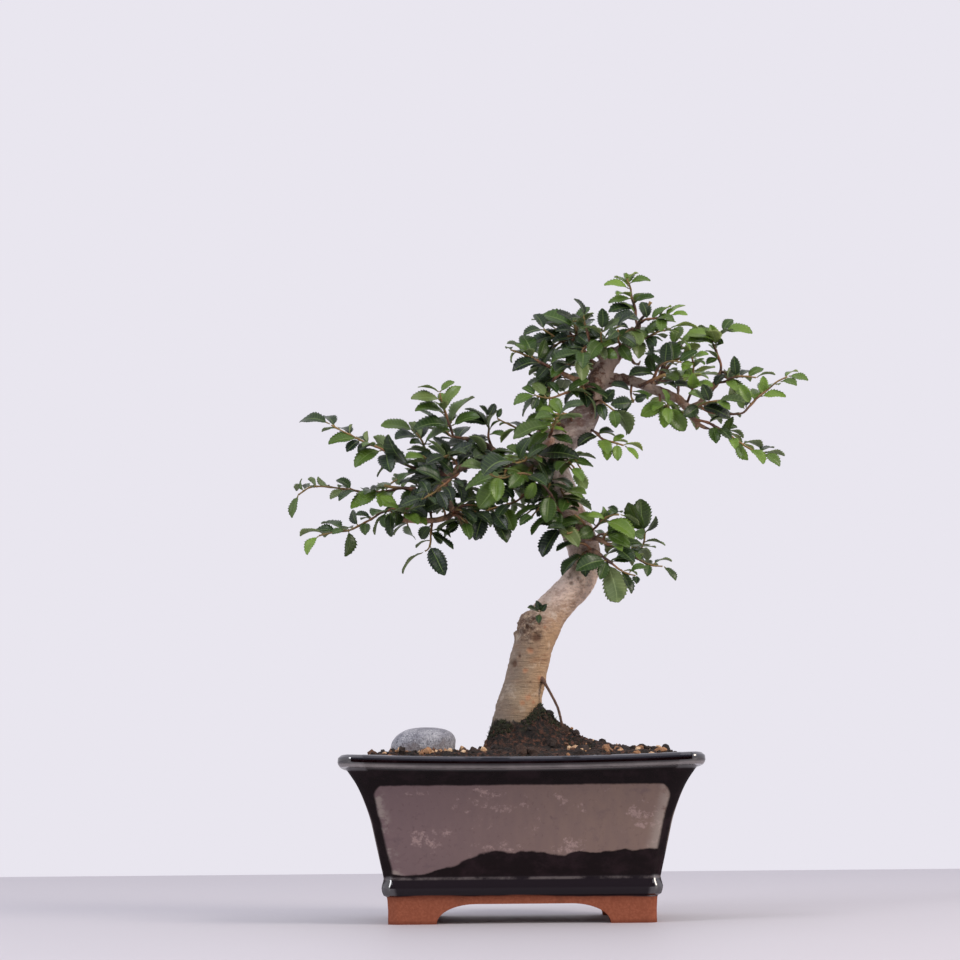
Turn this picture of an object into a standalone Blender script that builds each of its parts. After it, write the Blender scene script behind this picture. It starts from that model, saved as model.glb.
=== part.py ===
"""Chinese elm bonsai in an oblong glazed pot, built for Blender 4.5 in metres with +Z up.

Lengths in the tables are millimetres. A point of the tree is written as (x, y, z) the way it shows in the
front view, seen from EYE: x and z are where it shows on the upright plane through the middle of the pot, and y
is how far behind that plane it really lies. seen() slides it along the line of sight to that depth.
"""

import math
import random

import bmesh
import bpy
import numpy as np
from mathutils import Vector
from mathutils.bvhtree import BVHTree

OBJECT = "chinese_elm_bonsai"
MM = 0.001
EYE = (-16.7, -1100.0, 55.2)
GAP = 0.3

# Pot: half sizes at the widest line of the lip, the wall's outline as (inset, height), and the foot
RIM_X = 78.8
RIM_Y = 60.0
LIP_SAG = 1.8
OUTER_WALL = [
    (20.8, 0.0), (20.6, 9.0), (20.3, 11.6), (18.9, 12.4), (18.1, 15.5), (18.8, 18.3), (19.0, 19.6),
    (17.2, 28.0), (15.5, 36.0), (13.5, 45.0), (10.8, 53.0), (7.8, 60.0), (4.4, 65.5), (3.2, 67.2), (1.0, 67.6),
    (0.0, 69.6), (0.2, 71.6), (1.4, 72.8),
]
INNER_WALL = [(3.4, 73.0), (5.2, 72.0), (8.0, 68.4), (12.8, 60.0), (17.1, 50.0), (20.2, 38.0), (23.9, 17.0)]
CORNER_FOOT = 5.0
CORNER_RIM = 9.0
RECESS_INSET = 29.3
RECESS_TOP = 10.0
FOOT_INSET = 20.8
LIP_FADE = (55.0, 18.0)
FRONT_ARCH = (-37.0, 38.0, 17.0)
SIDE_ARCH = (-24.0, 24.0, 12.0)
ARCH_TOP = 8.5
ARCH_STEPS = 5
ARCH_BELOW = 3.0
ARCH_REACH = 90.0
DRAIN_X = 30.0
DRAIN_RADIUS = 6.0
DRAIN_MIDDLE = 12.0
DRAIN_LENGTH = 30.0
DRAIN_SIDES = 16

# Soil: clearance to the pot's wall, level of the open surface, and the mound that carries the trunk
SOIL_BED = 17.4
SOIL_EDGE = 70.4
SOIL_LEVEL = 73.4
SOIL_CROWN_STEP = 13.0
SOIL_WALL_GAP = 0.45
SOIL_LIP_GAP = 0.65
SOIL_SHOULDER = 68.6
SOIL_BORDER = (7.85, 70.0)
SOIL_SHARES = (0.90, 0.78, 0.65, 0.53, 0.42, 0.32, 0.23, 0.14)
SOIL_HUB = 3.0
LIP_CLEAR = 7.0
MOUND_TOPS = (15.4, 21.0)
MOUND_STEP = (-2.0, 11.0)
MOUND_X = 3.0
MOUND_LEFT = (17.2, 8)
MOUND_RIGHT = (10.0, 16.0)
MOUND_DEPTH = (19.5, 3)

# Stone: middle, half sizes, and how far its top lies to the right of its middle
STONE_MIDDLE = (-42.8, -16.0, 76.3)
STONE_HALF = (14.6, 12.0, 8.0)
STONE_SQUARENESS = 0.82
STONE_LEAN = 1.8
STONE_CUTS = 3

# Blades: thickness, and outlines as (share of length, share of half width) down one side from stalk to tip
BLADE = 0.64
SMALLEST_BLADE = 10.6
LARGE_BLADE = 12.8
BLADE_LARGE = [(0.30, 0.94), (0.38, 0.80), (0.60, 0.90), (0.67, 0.66)]
BLADE_SMALL = [(0.34, 1.0), (0.45, 0.80), (0.74, 0.62)]
BLADE_WIDTH = 0.48
BLADE_FOLD = 0.34
BLADE_ARCH = 0.10
WELDS = (0.16, 0.12, 0.09, 0.06, 0.03)

# Wood as named runs of (x, y, z, radius); each run after the first starts inside the one that carries it
TRUNK = [
    (-1.0, 0, 70, 9.5), (-1.2, 0, 84, 11.2), (-0.2, 0, 92, 10.4), (0.9, 0, 99, 9.6), (2.6, 0, 105, 9.3),
    (4.4, 0, 113, 9.1), (6.6, 0, 121, 9.1), (9.4, 0, 128, 9.0), (14.0, 1, 136, 8.2), (20.5, 2, 143, 7.5),
    (27.0, 4, 150, 7.4), (30.5, 6, 158, 7.2), (29.4, 8, 167, 7.3), (26.0, 8, 176, 7.3), (21.6, 7, 186, 7.4),
    (17.6, 5, 196, 7.7), (15.6, 3, 205, 8.0), (18.0, 1, 212, 7.8), (23.4, 0, 218, 7.2), (29.4, -1, 223.4, 6.8),
    (33.4, -1, 229.6, 5.6), (35.6, 0, 236, 5.0), (37.4, 1, 242, 4.8), (40.6, 2, 248, 4.2),
    (45.0, 2, 253.4, 3.6), (50.0, 1, 258.0, 2.6), (54.4, 0, 262.0, 1.9), (56.0, -1, 266.6, 1.4),
    (57.4, -2, 270.4, 1.1),
]
LIMBS = {
    "aerial_root": [(10.5, -6, 107, 1.2), (14.6, -8, 99.5, 0.8), (17.6, -9, 93, 0.8), (19.6, -9.5, 84, 0.8)],
    "left_limb": [
        (14, 3, 203, 3.6), (4, 3, 205.4, 2.6), (-8, 4, 206, 2.3), (-17, 3, 205.2, 2.0), (-25, 1, 203, 1.8),
        (-31, 0, 198.4, 1.6), (-36, -1, 192.6, 1.4), (-40, -2, 187.0, 1.1),
    ],
    "left_limb_up": [(-7, 4, 206, 2.0), (-11, 6, 211.6, 1.4), (-18, 6, 215.4, 1.2), (-25, 4, 216.6, 1.0)],
    "cut_stub": [
        (-33, 0, 196, 1.6), (-31, -5, 188, 1.4), (-29.6, -8, 182, 1.5), (-35, -10, 179.4, 1.4),
        (-44, -11, 178.8, 1.4), (-53.4, -12, 179.8, 1.5),
    ],
    "low_right_limb": [(27, 6, 170, 3.0), (34, 0, 170.4, 1.5), (38, -3, 169.4, 1.2), (41, -4, 167.2, 1.0)],
    "low_right_spur": [(30, 4, 164, 2.6), (34.5, -3, 164.4, 1.3), (38.6, -6, 161.8, 1.0)],
    "right_limb": [
        (37, 1, 241, 3.6), (44, 1, 243, 2.9), (50, 1, 243.2, 2.6), (55, 1, 242, 2.5), (60, 2, 240, 2.5),
        (65, 3, 237.6, 2.4), (70, 4, 235.6, 2.2), (74, 4, 234, 2.1), (77, 4, 231.5, 2.1),
        (79.2, 4, 228.4, 2.1), (80.8, 4, 225.2, 1.4), (83.0, 4, 222.4, 1.1), (86.0, 4, 220.6, 0.9),
        (88.6, 4, 219.8, 0.6),
    ],
    "right_limb_fork": [(82.6, 4, 222.6, 1.0), (82.2, 3, 220.2, 0.6)],
    "right_limb_up": [
        (78.6, 4, 229.2, 1.9), (83.6, 5, 231.4, 1.4), (87.0, 6, 235.2, 1.4), (90.4, 7, 239.4, 1.5),
        (92.8, 8, 243.4, 1.5), (94.2, 8, 247.0, 0.9),
    ],
    "crown_stub": [
        (44, 2, 250.4, 3.0), (40.4, -2, 253.0, 2.2), (37.4, -4, 256.0, 1.7), (34.6, -6, 259.0, 1.3),
    ],
    "crown_left_limb": [
        (36.6, 1, 240.0, 3.4), (31.0, -1, 241.2, 2.0), (26.0, -3, 244.0, 1.5), (21.0, -4, 246.6, 1.1),
    ],
    "crown_back_limb": [(39, 3, 247, 3.0), (36, 12, 250, 1.9), (33, 22, 254, 1.3)],
    "crown_up_limb": [
        (38, 3, 246, 2.6), (33.6, 6, 251.6, 1.5), (29.6, 6, 257.4, 1.2), (28.0, 5, 262.6, 0.9),
    ],
    "right_back_limb": [(58, 2, 240.8, 2.0), (62, 12, 241, 1.4), (66, 22, 242, 1.0)],
    "left_back_limb": [(-14, 4, 205.6, 1.9), (-22, 14, 206, 1.4), (-30, 23, 205, 1.1)],
    "hooked_twig": [
        (49.0, 0, 256.6, 1.2), (52.4, -3, 254.2, 0.9), (54.4, -5, 250.6, 0.8), (56.6, -5, 249.8, 0.7),
        (57.4, -5, 252.0, 0.5),
    ],
}
KNOBS = [
    (-0.2, -1, 126.6, 1.6), (7.8, -1, 131.6, 6.9), (15.0, 0, 122.8, 1.6), (11.0, -3, 105.8, 1.6),
    (-6.4, -2, 104.0, 1.4), (13.0, -5, 217.0, 4.2), (9.0, -2, 207.6, 3.0), (31.6, -3, 218.6, 2.0),
    (44.0, 0, 256.0, 2.6),
]
WOOD_STEP = 11.0
TRUNK_SIDES = 10
LIMB_SIDES = 6
STOUT = 1.45
WOOD_CREASE = math.radians(40)
POT_CREASE = math.radians(35)
SOIL_CREASE = math.radians(50)

# Leafy shoots. "twig" runs (x, y, z) from inside the wood to the tip. "leaves" are (x, z) of the base, (x, z)
# of the tip, how far the tip is behind the base, and the way the upper side faces: u up, f front, b back, l left
# and r right. "fill" more leaves follow the two-ranked rule of elm, on places that the listed ones leave free.
SHOOTS = {
    "left_upper": dict(
        twig=[(-30.6, 0, 198.8), (-38, -2, 200.4), (-45, -3, 202.5), (-52, -4, 205.2), (-57, -5, 209.2),
               (-63, -6, 212.6), (-69, -7, 215), (-75, -8, 218.2), (-80, -9, 220.6), (-85, -10, 223.6)],
        leaves=[(-85, 223.4, -99, 224.8, 6, "uf"), (-82, 221.6, -88.8, 220.3, 4, "u"),
               (-76, 218.6, -75, 223.4, 4, "l"), (-72, 217, -85.8, 214.6, -3, "uf"),
               (-71, 216, -77.4, 210.8, -4, "uf"), (-68, 214.8, -68, 220.2, 4, "bl"),
               (-66, 214, -72.4, 211.2, -5, "uf"), (-61, 211.4, -73.8, 203.8, -6, "uf"),
               (-59, 210.4, -57.5, 201.2, -10, "f"), (-57, 209, -65.2, 217.6, 6, "ub"),
               (-53, 206, -63.6, 199.2, 3, "lu"), (-48, 203.6, -58.6, 218.6, -12, "fl")],
        fill=1),
    "left_top": dict(
        twig=[(-31, 0, 198), (-36, 5, 203), (-40, 7, 208), (-42, 8, 213), (-44, 8, 217), (-46, 8, 220)],
        leaves=[(-46, 220, -61.8, 222.8, -4, "uf"), (-44, 218, -57.6, 218.8, -8, "uf"),
               (-43, 216, -49, 224, 5, "ub"), (-42, 214, -30.4, 220.6, -8, "fu"),
               (-41.6, 212, -48.6, 214.6, -8, "uf"), (-38, 205, -34, 214, -10, "fr")],
        fill=2),
    "left_upright": dict(
        twig=[(-24.4, 4, 216.6), (-28.6, 3, 217.6), (-30, 2, 221.6), (-31.8, 1, 227), (-33.6, 0, 232.4),
               (-34.8, -1, 238)],
        leaves=[(-34.8, 238, -45, 237.6, -2, "u"), (-34.8, 238, -28, 242.8, 2, "uf"),
               (-34, 234.8, -48, 235.2, -4, "uf"), (-32.6, 230, -25, 240.6, -4, "fu"),
               (-32, 228, -46.2, 229.6, -6, "uf"), (-31.6, 227, -43.8, 232.8, 7, "u"),
               (-30, 222, -16.6, 226.4, -4, "uf"), (-30, 223, -19, 235.4, 8, "u"),
               (-30, 221.4, -47, 220.8, -5, "uf")],
        fill=1),
    "left_middle": dict(
        twig=[(-37.4, -1, 190.6), (-44, 1, 192), (-52, 2, 193.9), (-60, 3, 192.3), (-70, 4, 192.2),
               (-75, 4, 193.2), (-80, 4, 193.9), (-88, 4, 194.9), (-94, 4, 194.6), (-99.5, 4, 191.2)],
        leaves=[(-99.5, 191.2, -102.4, 180.6, -1, "lf"), (-97, 193, -98, 198.6, 2, "lu"),
               (-91, 194.8, -95, 198.6, 5, "ub"), (-86, 194.6, -90.6, 199.4, 3, "bl"),
               (-79, 193.6, -85, 189.2, -3, "uf"), (-75, 193.4, -82.2, 197.9, 3, "fu"),
               (-61, 192.4, -75.6, 184.8, -6, "fu"), (-58, 192.6, -62, 185.4, -9, "fu"),
               (-53, 193.6, -46, 199, 6, "u"), (-48, 192.8, -50.6, 183.4, -6, "f")],
        fill=3),
    "left_low": dict(
        twig=[(-38.6, -2, 188.8), (-42, -6, 186.4), (-48, -10, 184.2), (-56, -13, 184.2),
               (-62, -15, 182.5), (-67, -16, 179.4), (-72, -17, 176.8), (-77, -17, 174.6),
               (-83, -18, 174), (-90, -18, 172.4)],
        leaves=[(-90, 172.4, -95.6, 163.8, -2, "fl"), (-82, 174.2, -91.8, 174.8, 4, "uf"),
               (-87, 173.4, -98.6, 172.4, 8, "u"), (-78, 174.4, -84, 173.2, -4, "uf"),
               (-76.6, 174.4, -78.2, 162.8, 2, "rf"), (-72.6, 177, -74.8, 184, 4, "lf"),
               (-66, 180, -73.6, 182, -3, "uf"), (-69, 178.4, -69, 172.6, -6, "f"),
               (-60, 183.2, -60.2, 176, -4, "fl"), (-59, 183.4, -64.8, 172.6, 4, "lu"),
               (-57, 184, -57.2, 171.6, 2, "fl"), (-56, 184, -53.2, 175.8, -5, "fr"),
               (-54, 184.2, -62, 190.4, 4, "fu"), (-50, 184, -41, 180.4, -8, "fu")],
        fill=2),
    "left_hanging": dict(
        twig=[(-39.4, -2, 187.8), (-39, -6, 182), (-39, -8, 176), (-39.2, -9, 170.4), (-40.6, -9, 166),
               (-42.6, -9, 164.6)],
        leaves=[(-42.6, 164.6, -52.2, 154.8, 3, "lu"), (-40, 168, -33, 153.8, -3, "f"),
               (-39, 181, -38.6, 169.6, -9, "f"), (-39.4, 180, -50.2, 171.8, -6, "fu"),
               (-39, 177, -43.8, 170.6, 6, "f"), (-39, 174, -34, 168.6, 5, "fr")],
        fill=1),
    "left_front": dict(
        twig=[(-26, 1, 202.6), (-27, -7, 200), (-31, -14, 197), (-36, -21, 193), (-42, -27, 189)],
        leaves=[(-42, 189, -53.8, 185, -3, "fu"), (-40, 190.6, -44, 197.6, 3, "fu"),
               (-36, 193, -32, 184, -5, "f"), (-33, 195.6, -46, 202.4, -6, "fu"),
               (-30, 197.6, -25, 187, -8, "fr"), (-28, 199.6, -37, 208, -2, "fu"),
               (-27, 201, -20.4, 209.6, -8, "fu")],
        fill=1),
    "left_inner": dict(
        twig=[(-33, -1, 195.8), (-30, 3, 190), (-29, 6, 184), (-28, 7, 180)],
        leaves=[(-28, 180, -31.6, 172.8, -4, "f"), (-29, 184, -24, 174.6, 2, "fr"),
               (-29.4, 187, -38, 182.4, 3, "fu"), (-30, 190, -22.6, 189, 4, "uf")],
        fill=1),
    "left_deep": dict(
        twig=[(-30.2, 24, 205), (-36, 30, 204), (-44, 35, 202), (-52, 38, 199), (-59, 40, 195)],
        leaves=[],
        fill=5),
    "left_deep_low": dict(
        twig=[(-26, 19, 205.4), (-30, 24, 200), (-35, 28, 194), (-42, 31, 188), (-49, 33, 183)],
        leaves=[],
        fill=5),
    "left_deep_up": dict(
        twig=[(-22.6, 15, 206), (-25, 21, 212), (-30, 26, 218), (-36, 29, 223)],
        leaves=[],
        fill=5),
    "middle_upright": dict(
        twig=[(-10.6, 6, 211), (-12.4, 8, 216), (-12.6, 9, 221), (-13, 9, 226)],
        leaves=[(-13, 226, -16.6, 231.6, -4, "fu"), (-13, 226, -9.6, 232.4, 3, "fu"),
               (-12.6, 222, -24.4, 224.6, -4, "uf"), (-12.6, 221, -20.6, 227.6, 8, "u"),
               (-12.6, 218, -4.6, 217.4, -5, "uf"), (-12, 215.4, -22, 210.4, -7, "fu"),
               (-12.4, 219, -8.6, 229.4, 4, "l")],
        fill=1),
    "middle_low": dict(
        twig=[(13.4, 2, 196), (6, -4, 192.4), (0, -7, 187.6), (-5, -8, 185.8), (-10, -9, 184.6),
               (-15, -9, 182.6)],
        leaves=[(-15, 182.6, -19, 169.6, -3, "f"), (-14, 183, -4.8, 168.4, -3, "fr"),
               (-11, 184.4, -8, 173, -7, "f"), (-6, 185.8, -1.6, 174, -5, "f"),
               (-4, 186, 4.6, 182.6, 4, "u"), (2, 189.2, 6.6, 199.4, 3, "fu"),
               (-12, 184.2, -20.4, 190.6, 5, "fu"), (-1, 187.4, -6.4, 193.6, 4, "fu")],
        fill=1),
    "front_low": dict(
        twig=[(21.6, 0, 178), (19, -8, 183), (16, -13, 189), (12.4, -17, 194.6), (6.4, -22, 199.4),
               (0, -27, 200), (-6.6, -32, 198), (-12.6, -37, 200.2)],
        leaves=[(-12.6, 200.2, -25.4, 203.6, -7, "fu"), (-8, 198.4, -9, 187.4, -6, "f"),
               (-7, 198, -17.4, 184.4, 2, "f"), (-5, 198.4, -23.4, 189, 5, "uf"),
               (2, 200, -3.6, 193.6, -8, "f"), (5, 199.6, 13.6, 194.6, -8, "fu"),
               (9, 197.6, 4.4, 188.4, 4, "f"), (15, 190.6, 13.4, 177.4, -4, "f"),
               (17, 187, 9, 180.4, 4, "fl")],
        fill=0),
    "front_middle": dict(
        twig=[(11, -1, 207.6), (7.4, -9, 208), (5, -17, 207), (2.6, -25, 205.6), (-0.6, -33, 205)],
        leaves=[(-0.6, 205, -20, 202.8, -12, "fu"), (4, 206.4, 14, 212.8, -3, "fu"),
               (5.4, 207, -4.4, 212.6, 3, "uf"), (7, 208, 14.4, 195.4, -6, "fr"),
               (7.4, 208, 28.6, 207, -6, "fu"), (1.4, 205.4, 6.4, 216.6, -8, "fl")],
        fill=0),
    "front_upper": dict(
        twig=[(15, -3, 214), (15.4, -9, 217), (16.4, -17, 220.4), (17.6, -25, 223.6), (19, -33, 225.8)],
        leaves=[(19, 225.8, 31, 232, -10, "uf"), (18.6, 225, 8.6, 225.4, -4, "uf"),
               (17, 222, -1.4, 216, -3, "uf"), (16, 219.6, 8.2, 209.6, -6, "fl"),
               (15.6, 218, 25.6, 213.6, -6, "fr"), (18, 224, 30.4, 226, 4, "u"),
               (17, 222.4, 9.4, 221.4, 6, "uf"), (16.6, 221, 23.8, 217.4, 5, "fu")],
        fill=0),
    "bare_left": dict(
        twig=[(10.6, 1, 214.6), (5, -4, 218.6), (-1, -8, 221.6), (-8.6, -12, 225.6)],
        leaves=[(-8.6, 225.6, -6.6, 230.2, -2, "f"), (0.6, 220.8, -7, 214.4, 5, "u")],
        fill=0),
    "right_of_trunk": dict(
        twig=[(31, -1, 222), (36.4, -6, 218.6), (38.6, -8, 216.2), (41, -9, 215), (45, -10, 213.8),
               (49.6, -11, 212.4)],
        leaves=[(49.6, 212.4, 55.4, 206.4, -3, "fr"), (48.4, 212.8, 57.6, 210.2, 5, "u"),
               (46, 213.4, 46.2, 205.6, -3, "f"), (43.6, 214.2, 49.2, 217.4, 3, "fu"),
               (41.4, 214.8, 41.4, 205.8, -4, "f"), (37.6, 217.4, 28, 212.4, -5, "fu"),
               (36.8, 218.4, 44.6, 219.2, 4, "fu")],
        fill=0),
    "low_right_front": dict(
        twig=[(37.6, -5, 162.6), (41.6, -9, 159.4), (46, -13, 156), (50, -15, 153.8), (54, -16, 152.8)],
        leaves=[(54, 152.8, 53.8, 149.4, -6, "f"), (50, 153.8, 58.4, 156.6, -3, "fu"),
               (46.6, 155.8, 51.4, 144.8, -4, "fr"), (40.4, 160.4, 45, 140.8, -9, "f"),
               (42, 159, 53.4, 159.6, 4, "fu"), (40.6, 160.4, 37.4, 151.4, -4, "f"),
               (41.2, 160, 26.4, 155.6, -6, "fl")],
        fill=0),
    "low_right": dict(
        twig=[(40.6, -4, 167.6), (46, -6, 166.4), (51, -6, 163.6), (55, -6, 160.4), (60, -6, 157.8),
               (66.4, -7, 157)],
        leaves=[(66.4, 157, 71.6, 150.6, -3, "fr"), (61.4, 157.6, 70, 159.4, 5, "u"),
               (59.6, 158, 58.8, 152.6, -4, "f"), (53, 162, 59, 165, 6, "u"),
               (45, 166.6, 52.2, 156.6, -4, "fu"), (46, 166.4, 54.6, 169.6, 5, "fu"),
               (42, 167.4, 47.6, 164.2, -8, "fu"), (42, 167.6, 52.6, 171.4, 7, "fu")],
        fill=1),
    "low_right_upper": dict(
        twig=[(35.4, 0, 170.2), (38, 4, 172), (42, 7, 171.2), (48, 8, 166.4), (54, 8, 163.6),
               (56.8, 7, 166.4), (58.2, 6, 172.6)],
        leaves=[(58.2, 172.6, 50.6, 186.4, -2, "fl"), (58.2, 172.6, 63.2, 180, -5, "fr"),
               (57.6, 170.6, 53, 172.4, -7, "f"), (57, 168.2, 67.2, 166.6, -3, "u"),
               (57.8, 172, 56.4, 188, 6, "uf"), (55, 164.2, 50.6, 160.4, 7, "uf")],
        fill=1),
    "low_right_top": dict(
        twig=[(30.6, 5, 171), (35, -4, 174.6), (38.6, -7, 178.4), (43, -9, 180.6), (47, -10, 181)],
        leaves=[(47, 181, 55.4, 176, 3, "u"), (46, 181, 41.6, 184.4, 4, "uf"),
               (40, 179.4, 32, 180.4, -4, "uf"), (39, 178.6, 53.2, 169.8, -6, "fu"),
               (35.4, 175, 28, 181.2, 4, "fu"), (36, 176, 39.4, 184.6, 5, "ur"),
               (34.6, 174, 27, 170.6, -6, "f")],
        fill=1),
    "low_left_of_trunk": dict(
        twig=[(25.4, 6, 174), (21, -3, 174.6), (19.4, -6, 176)],
        leaves=[(20, 175.4, 11.4, 161.8, -2, "fl"), (19.6, 176, 27.8, 166.4, -7, "fu"),
               (19.4, 176, 8.4, 177.4, -3, "fu")],
        fill=0),
    "low_right_deep": dict(
        twig=[(29.6, 9, 166), (35, 18, 168), (41, 24, 169), (48, 29, 168), (55, 33, 165)],
        leaves=[],
        fill=5),
    "crown_left_low": dict(
        twig=[(22.2, -4, 245.8), (18, -5, 248.2), (14, -6, 250), (9, -7, 252.6), (3, -8, 255.4),
               (-2, -9, 257.4)],
        leaves=[(-2, 257.4, -4.2, 258.2, 5, "u"), (0, 256.6, -1.6, 251.4, -3, "l"),
               (12, 251, -1.4, 247.4, -4, "fu"), (6, 254, 0, 258.6, -5, "uf"),
               (8, 253.2, 3.4, 264.2, 6, "fu"), (10, 252.2, 14, 262, 3, "fr"),
               (9, 252.6, -3.6, 260.4, 10, "u"), (15, 249.8, 9.6, 243.8, -4, "f"),
               (15, 249.8, 26, 254, -5, "fu")],
        fill=1),
    "crown_left_middle": dict(
        twig=[(29, -1, 242), (26, -8, 238.6), (21, -12, 236.4), (15, -14, 234.8), (9, -14, 236)],
        leaves=[(9, 236, -1, 231.8, -3, "fu"), (9.4, 236, 3, 239.8, 3, "fu"),
               (10, 235.8, 7.4, 229.8, -4, "f"), (11, 235.6, 3, 226.4, 6, "l"),
               (14, 235, 8, 241.8, 5, "fu"), (17, 235.2, 20.4, 227.6, -4, "f"),
               (20, 236.2, 14.6, 242.2, 4, "uf"), (23, 237.4, 33.6, 242.8, -3, "uf"),
               (24, 237.6, 34.6, 236, -4, "u")],
        fill=0),
    "crown_left_upper": dict(
        twig=[(29, 6, 259), (28.4, 3, 263.6), (27.6, 1, 267), (27.4, 0, 270)],
        leaves=[(27.4, 270, 34.4, 277, 2, "fu"), (27.4, 270, 19, 275, -2, "uf"),
               (27.8, 268.4, 36, 273, 4, "uf"), (28, 266, 34.8, 266, -5, "uf"),
               (28, 264.6, 34, 259.6, -7, "f"), (27.8, 266.6, 12, 273.6, 5, "uf"),
               (28, 264.6, 18.6, 266, -6, "uf"), (28.6, 262.4, 17, 261, -5, "uf")],
        fill=1),
    "crown_left_outer": dict(
        twig=[(30.4, 6, 256), (24, 3, 259.4), (18.6, 1, 263), (13, 0, 266.6)],
        leaves=[(13, 266.6, 3.8, 264.2, -6, "fu"), (13.6, 266, 12, 274.4, 5, "fu"),
               (17, 264.2, 18.6, 275.6, 7, "u"), (18, 263.4, 9.6, 258.6, -7, "fu"),
               (22, 260.8, 27.8, 256, -5, "f")],
        fill=1),
    "crown_middle": dict(
        twig=[(42.6, 2, 251), (40.4, -5, 255.6), (39.6, -9, 261), (39.8, -11, 266)],
        leaves=[(39.8, 266, 40.2, 276.4, -3, "f"), (39.8, 265, 49.4, 269.2, -5, "uf"),
               (39.6, 262, 35.4, 268.6, 3, "fl"), (39.6, 260.6, 33.4, 252.6, -6, "f"),
               (39.6, 260, 48, 264.2, -6, "fu"), (40, 257.4, 46.6, 253, -6, "f"),
               (40.4, 256, 32, 258, 5, "u")],
        fill=1),
    "apex": dict(
        twig=[(56.2, -1, 267.4), (55.6, 2, 272), (55, 3, 277), (54, 3, 281.6), (53, 2, 286),
               (51.8, 1, 290)],
        leaves=[(51.8, 290, 51.4, 293, -1, "f"), (52, 289.6, 57, 292.8, 2, "u"),
               (52.6, 287.6, 62.6, 289.2, -2, "fu"), (53, 285.4, 41.2, 287.4, -3, "uf"),
               (52.8, 286.4, 46, 291, 5, "u"), (54.6, 279.6, 64.2, 281.6, -2, "uf"),
               (54.2, 281, 43, 279, -2, "uf"), (55, 276, 43, 274.6, -3, "uf"),
               (55.2, 275, 49.6, 278.2, 6, "u")],
        fill=1),
    "crown_right_upper": dict(
        twig=[(57, -2, 269), (60, -7, 271), (64, -9, 271.4), (68, -10, 272.2), (71.6, -10, 272.8)],
        leaves=[(71.6, 272.8, 79.4, 273, -2, "uf"), (66, 272, 72, 277, 4, "u"),
               (61.4, 271.4, 69.4, 275, -4, "fu"), (60, 271, 58.4, 279.2, 3, "f"),
               (64, 271.6, 73.2, 270.2, -5, "fu"), (58.6, 270, 45.4, 271.6, -6, "uf"),
               (66.6, 272, 67, 265.2, -5, "f")],
        fill=0),
    "crown_right": dict(
        twig=[(53, 1, 260.8), (57.4, -5, 261.6), (61, -8, 263), (65.6, -9, 265), (70, -9, 266.2)],
        leaves=[(70, 266.2, 84, 266.8, 3, "u"), (57.6, 261.6, 68.6, 269, -5, "fu"),
               (60, 262.6, 64.6, 258.6, -5, "f"), (57, 261.6, 56.6, 252.8, -6, "f"),
               (58.6, 262, 63, 254.6, 3, "fr"), (57, 261.4, 45.6, 263.4, -5, "fu")],
        fill=1),
    "crown_front": dict(
        twig=[(48.4, 1, 256.6), (48, -6, 259), (47.4, -12, 263), (46.8, -15, 267)],
        leaves=[(46.8, 267, 54, 274.6, -3, "fu"), (47, 265.6, 41.6, 260.4, -6, "f"),
               (47.4, 263.6, 55.4, 258.4, -5, "f"), (48, 260, 40.4, 256.4, -4, "fu"),
               (48, 259.4, 53, 251.6, -5, "f")],
        fill=0),
    "crown_deep": dict(
        twig=[(33.6, 20, 253.6), (32, 28, 257), (30, 34, 262), (28, 38, 267)],
        leaves=[],
        fill=5),
    "crown_deep_left": dict(
        twig=[(35.4, 13, 250.6), (28, 22, 250), (20, 28, 251), (12, 32, 253)],
        leaves=[],
        fill=5),
    "crown_deep_right": dict(
        twig=[(51, 2, 258.8), (56, 12, 262), (61, 20, 266), (65, 26, 269)],
        leaves=[],
        fill=5),
    "right_inner": dict(
        twig=[(61.6, 2, 239.6), (63.6, -3, 245), (66.6, -6, 249.4), (71, -8, 251.6), (76, -9, 250.8)],
        leaves=[(76, 250.8, 79.6, 249.2, -3, "uf"), (68, 250.4, 69.6, 260.2, -2, "f"),
               (63.8, 245.6, 60.6, 254.4, 3, "fl"), (72, 251.6, 71.4, 260.6, 6, "u"),
               (65, 247.4, 70.6, 245.8, 3, "u"), (63.6, 245, 50.6, 247.4, -4, "uf"),
               (74, 251.4, 80, 257, 5, "uf")],
        fill=1),
    "right_upright": dict(
        twig=[(78, 4, 231.4), (80.4, -2, 237), (81.4, -4, 243), (81.4, -5, 249), (80.8, -6, 254)],
        leaves=[(80.8, 254, 72.4, 260.4, 3, "u"), (81, 253, 88.6, 254.6, -3, "uf"),
               (81.2, 251, 76.6, 246.8, -5, "fu"), (81.2, 250.6, 86.8, 249.8, -5, "fr"),
               (81.4, 244, 78.6, 241.6, -4, "uf"), (80.6, 238, 72, 240.4, -4, "uf"),
               (81, 240.6, 90.4, 239.6, -6, "fu"), (80.6, 237.6, 83, 245.6, -7, "f")],
        fill=0),
    "right_top": dict(
        twig=[(94, 8, 246.2), (94, 7, 250), (92.6, 7, 255), (90.4, 6, 259.6), (91.4, 6, 263),
               (95, 6, 265)],
        leaves=[(95, 265, 109, 264.2, -3, "uf"), (94.6, 264.8, 99.8, 270.8, 3, "fu"),
               (93, 253, 87.6, 250, -4, "fu"), (90.6, 259.4, 79, 260.4, -5, "fu"),
               (91, 262.4, 78.6, 263.6, -4, "uf"), (90.6, 261, 87.4, 266.8, -3, "f"),
               (90.8, 260.6, 95.4, 259.6, -6, "f"), (91, 262, 84, 267.4, 7, "u")],
        fill=1),
    "right_middle": dict(
        twig=[(91.6, 7, 241.2), (96, 3, 241.8), (98.6, 2, 243.2), (104, 1, 244.2), (110, 0, 243.4)],
        leaves=[(110, 243.4, 119, 244.8, 2, "u"), (101, 243.8, 100.2, 253.6, -4, "f"),
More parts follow.
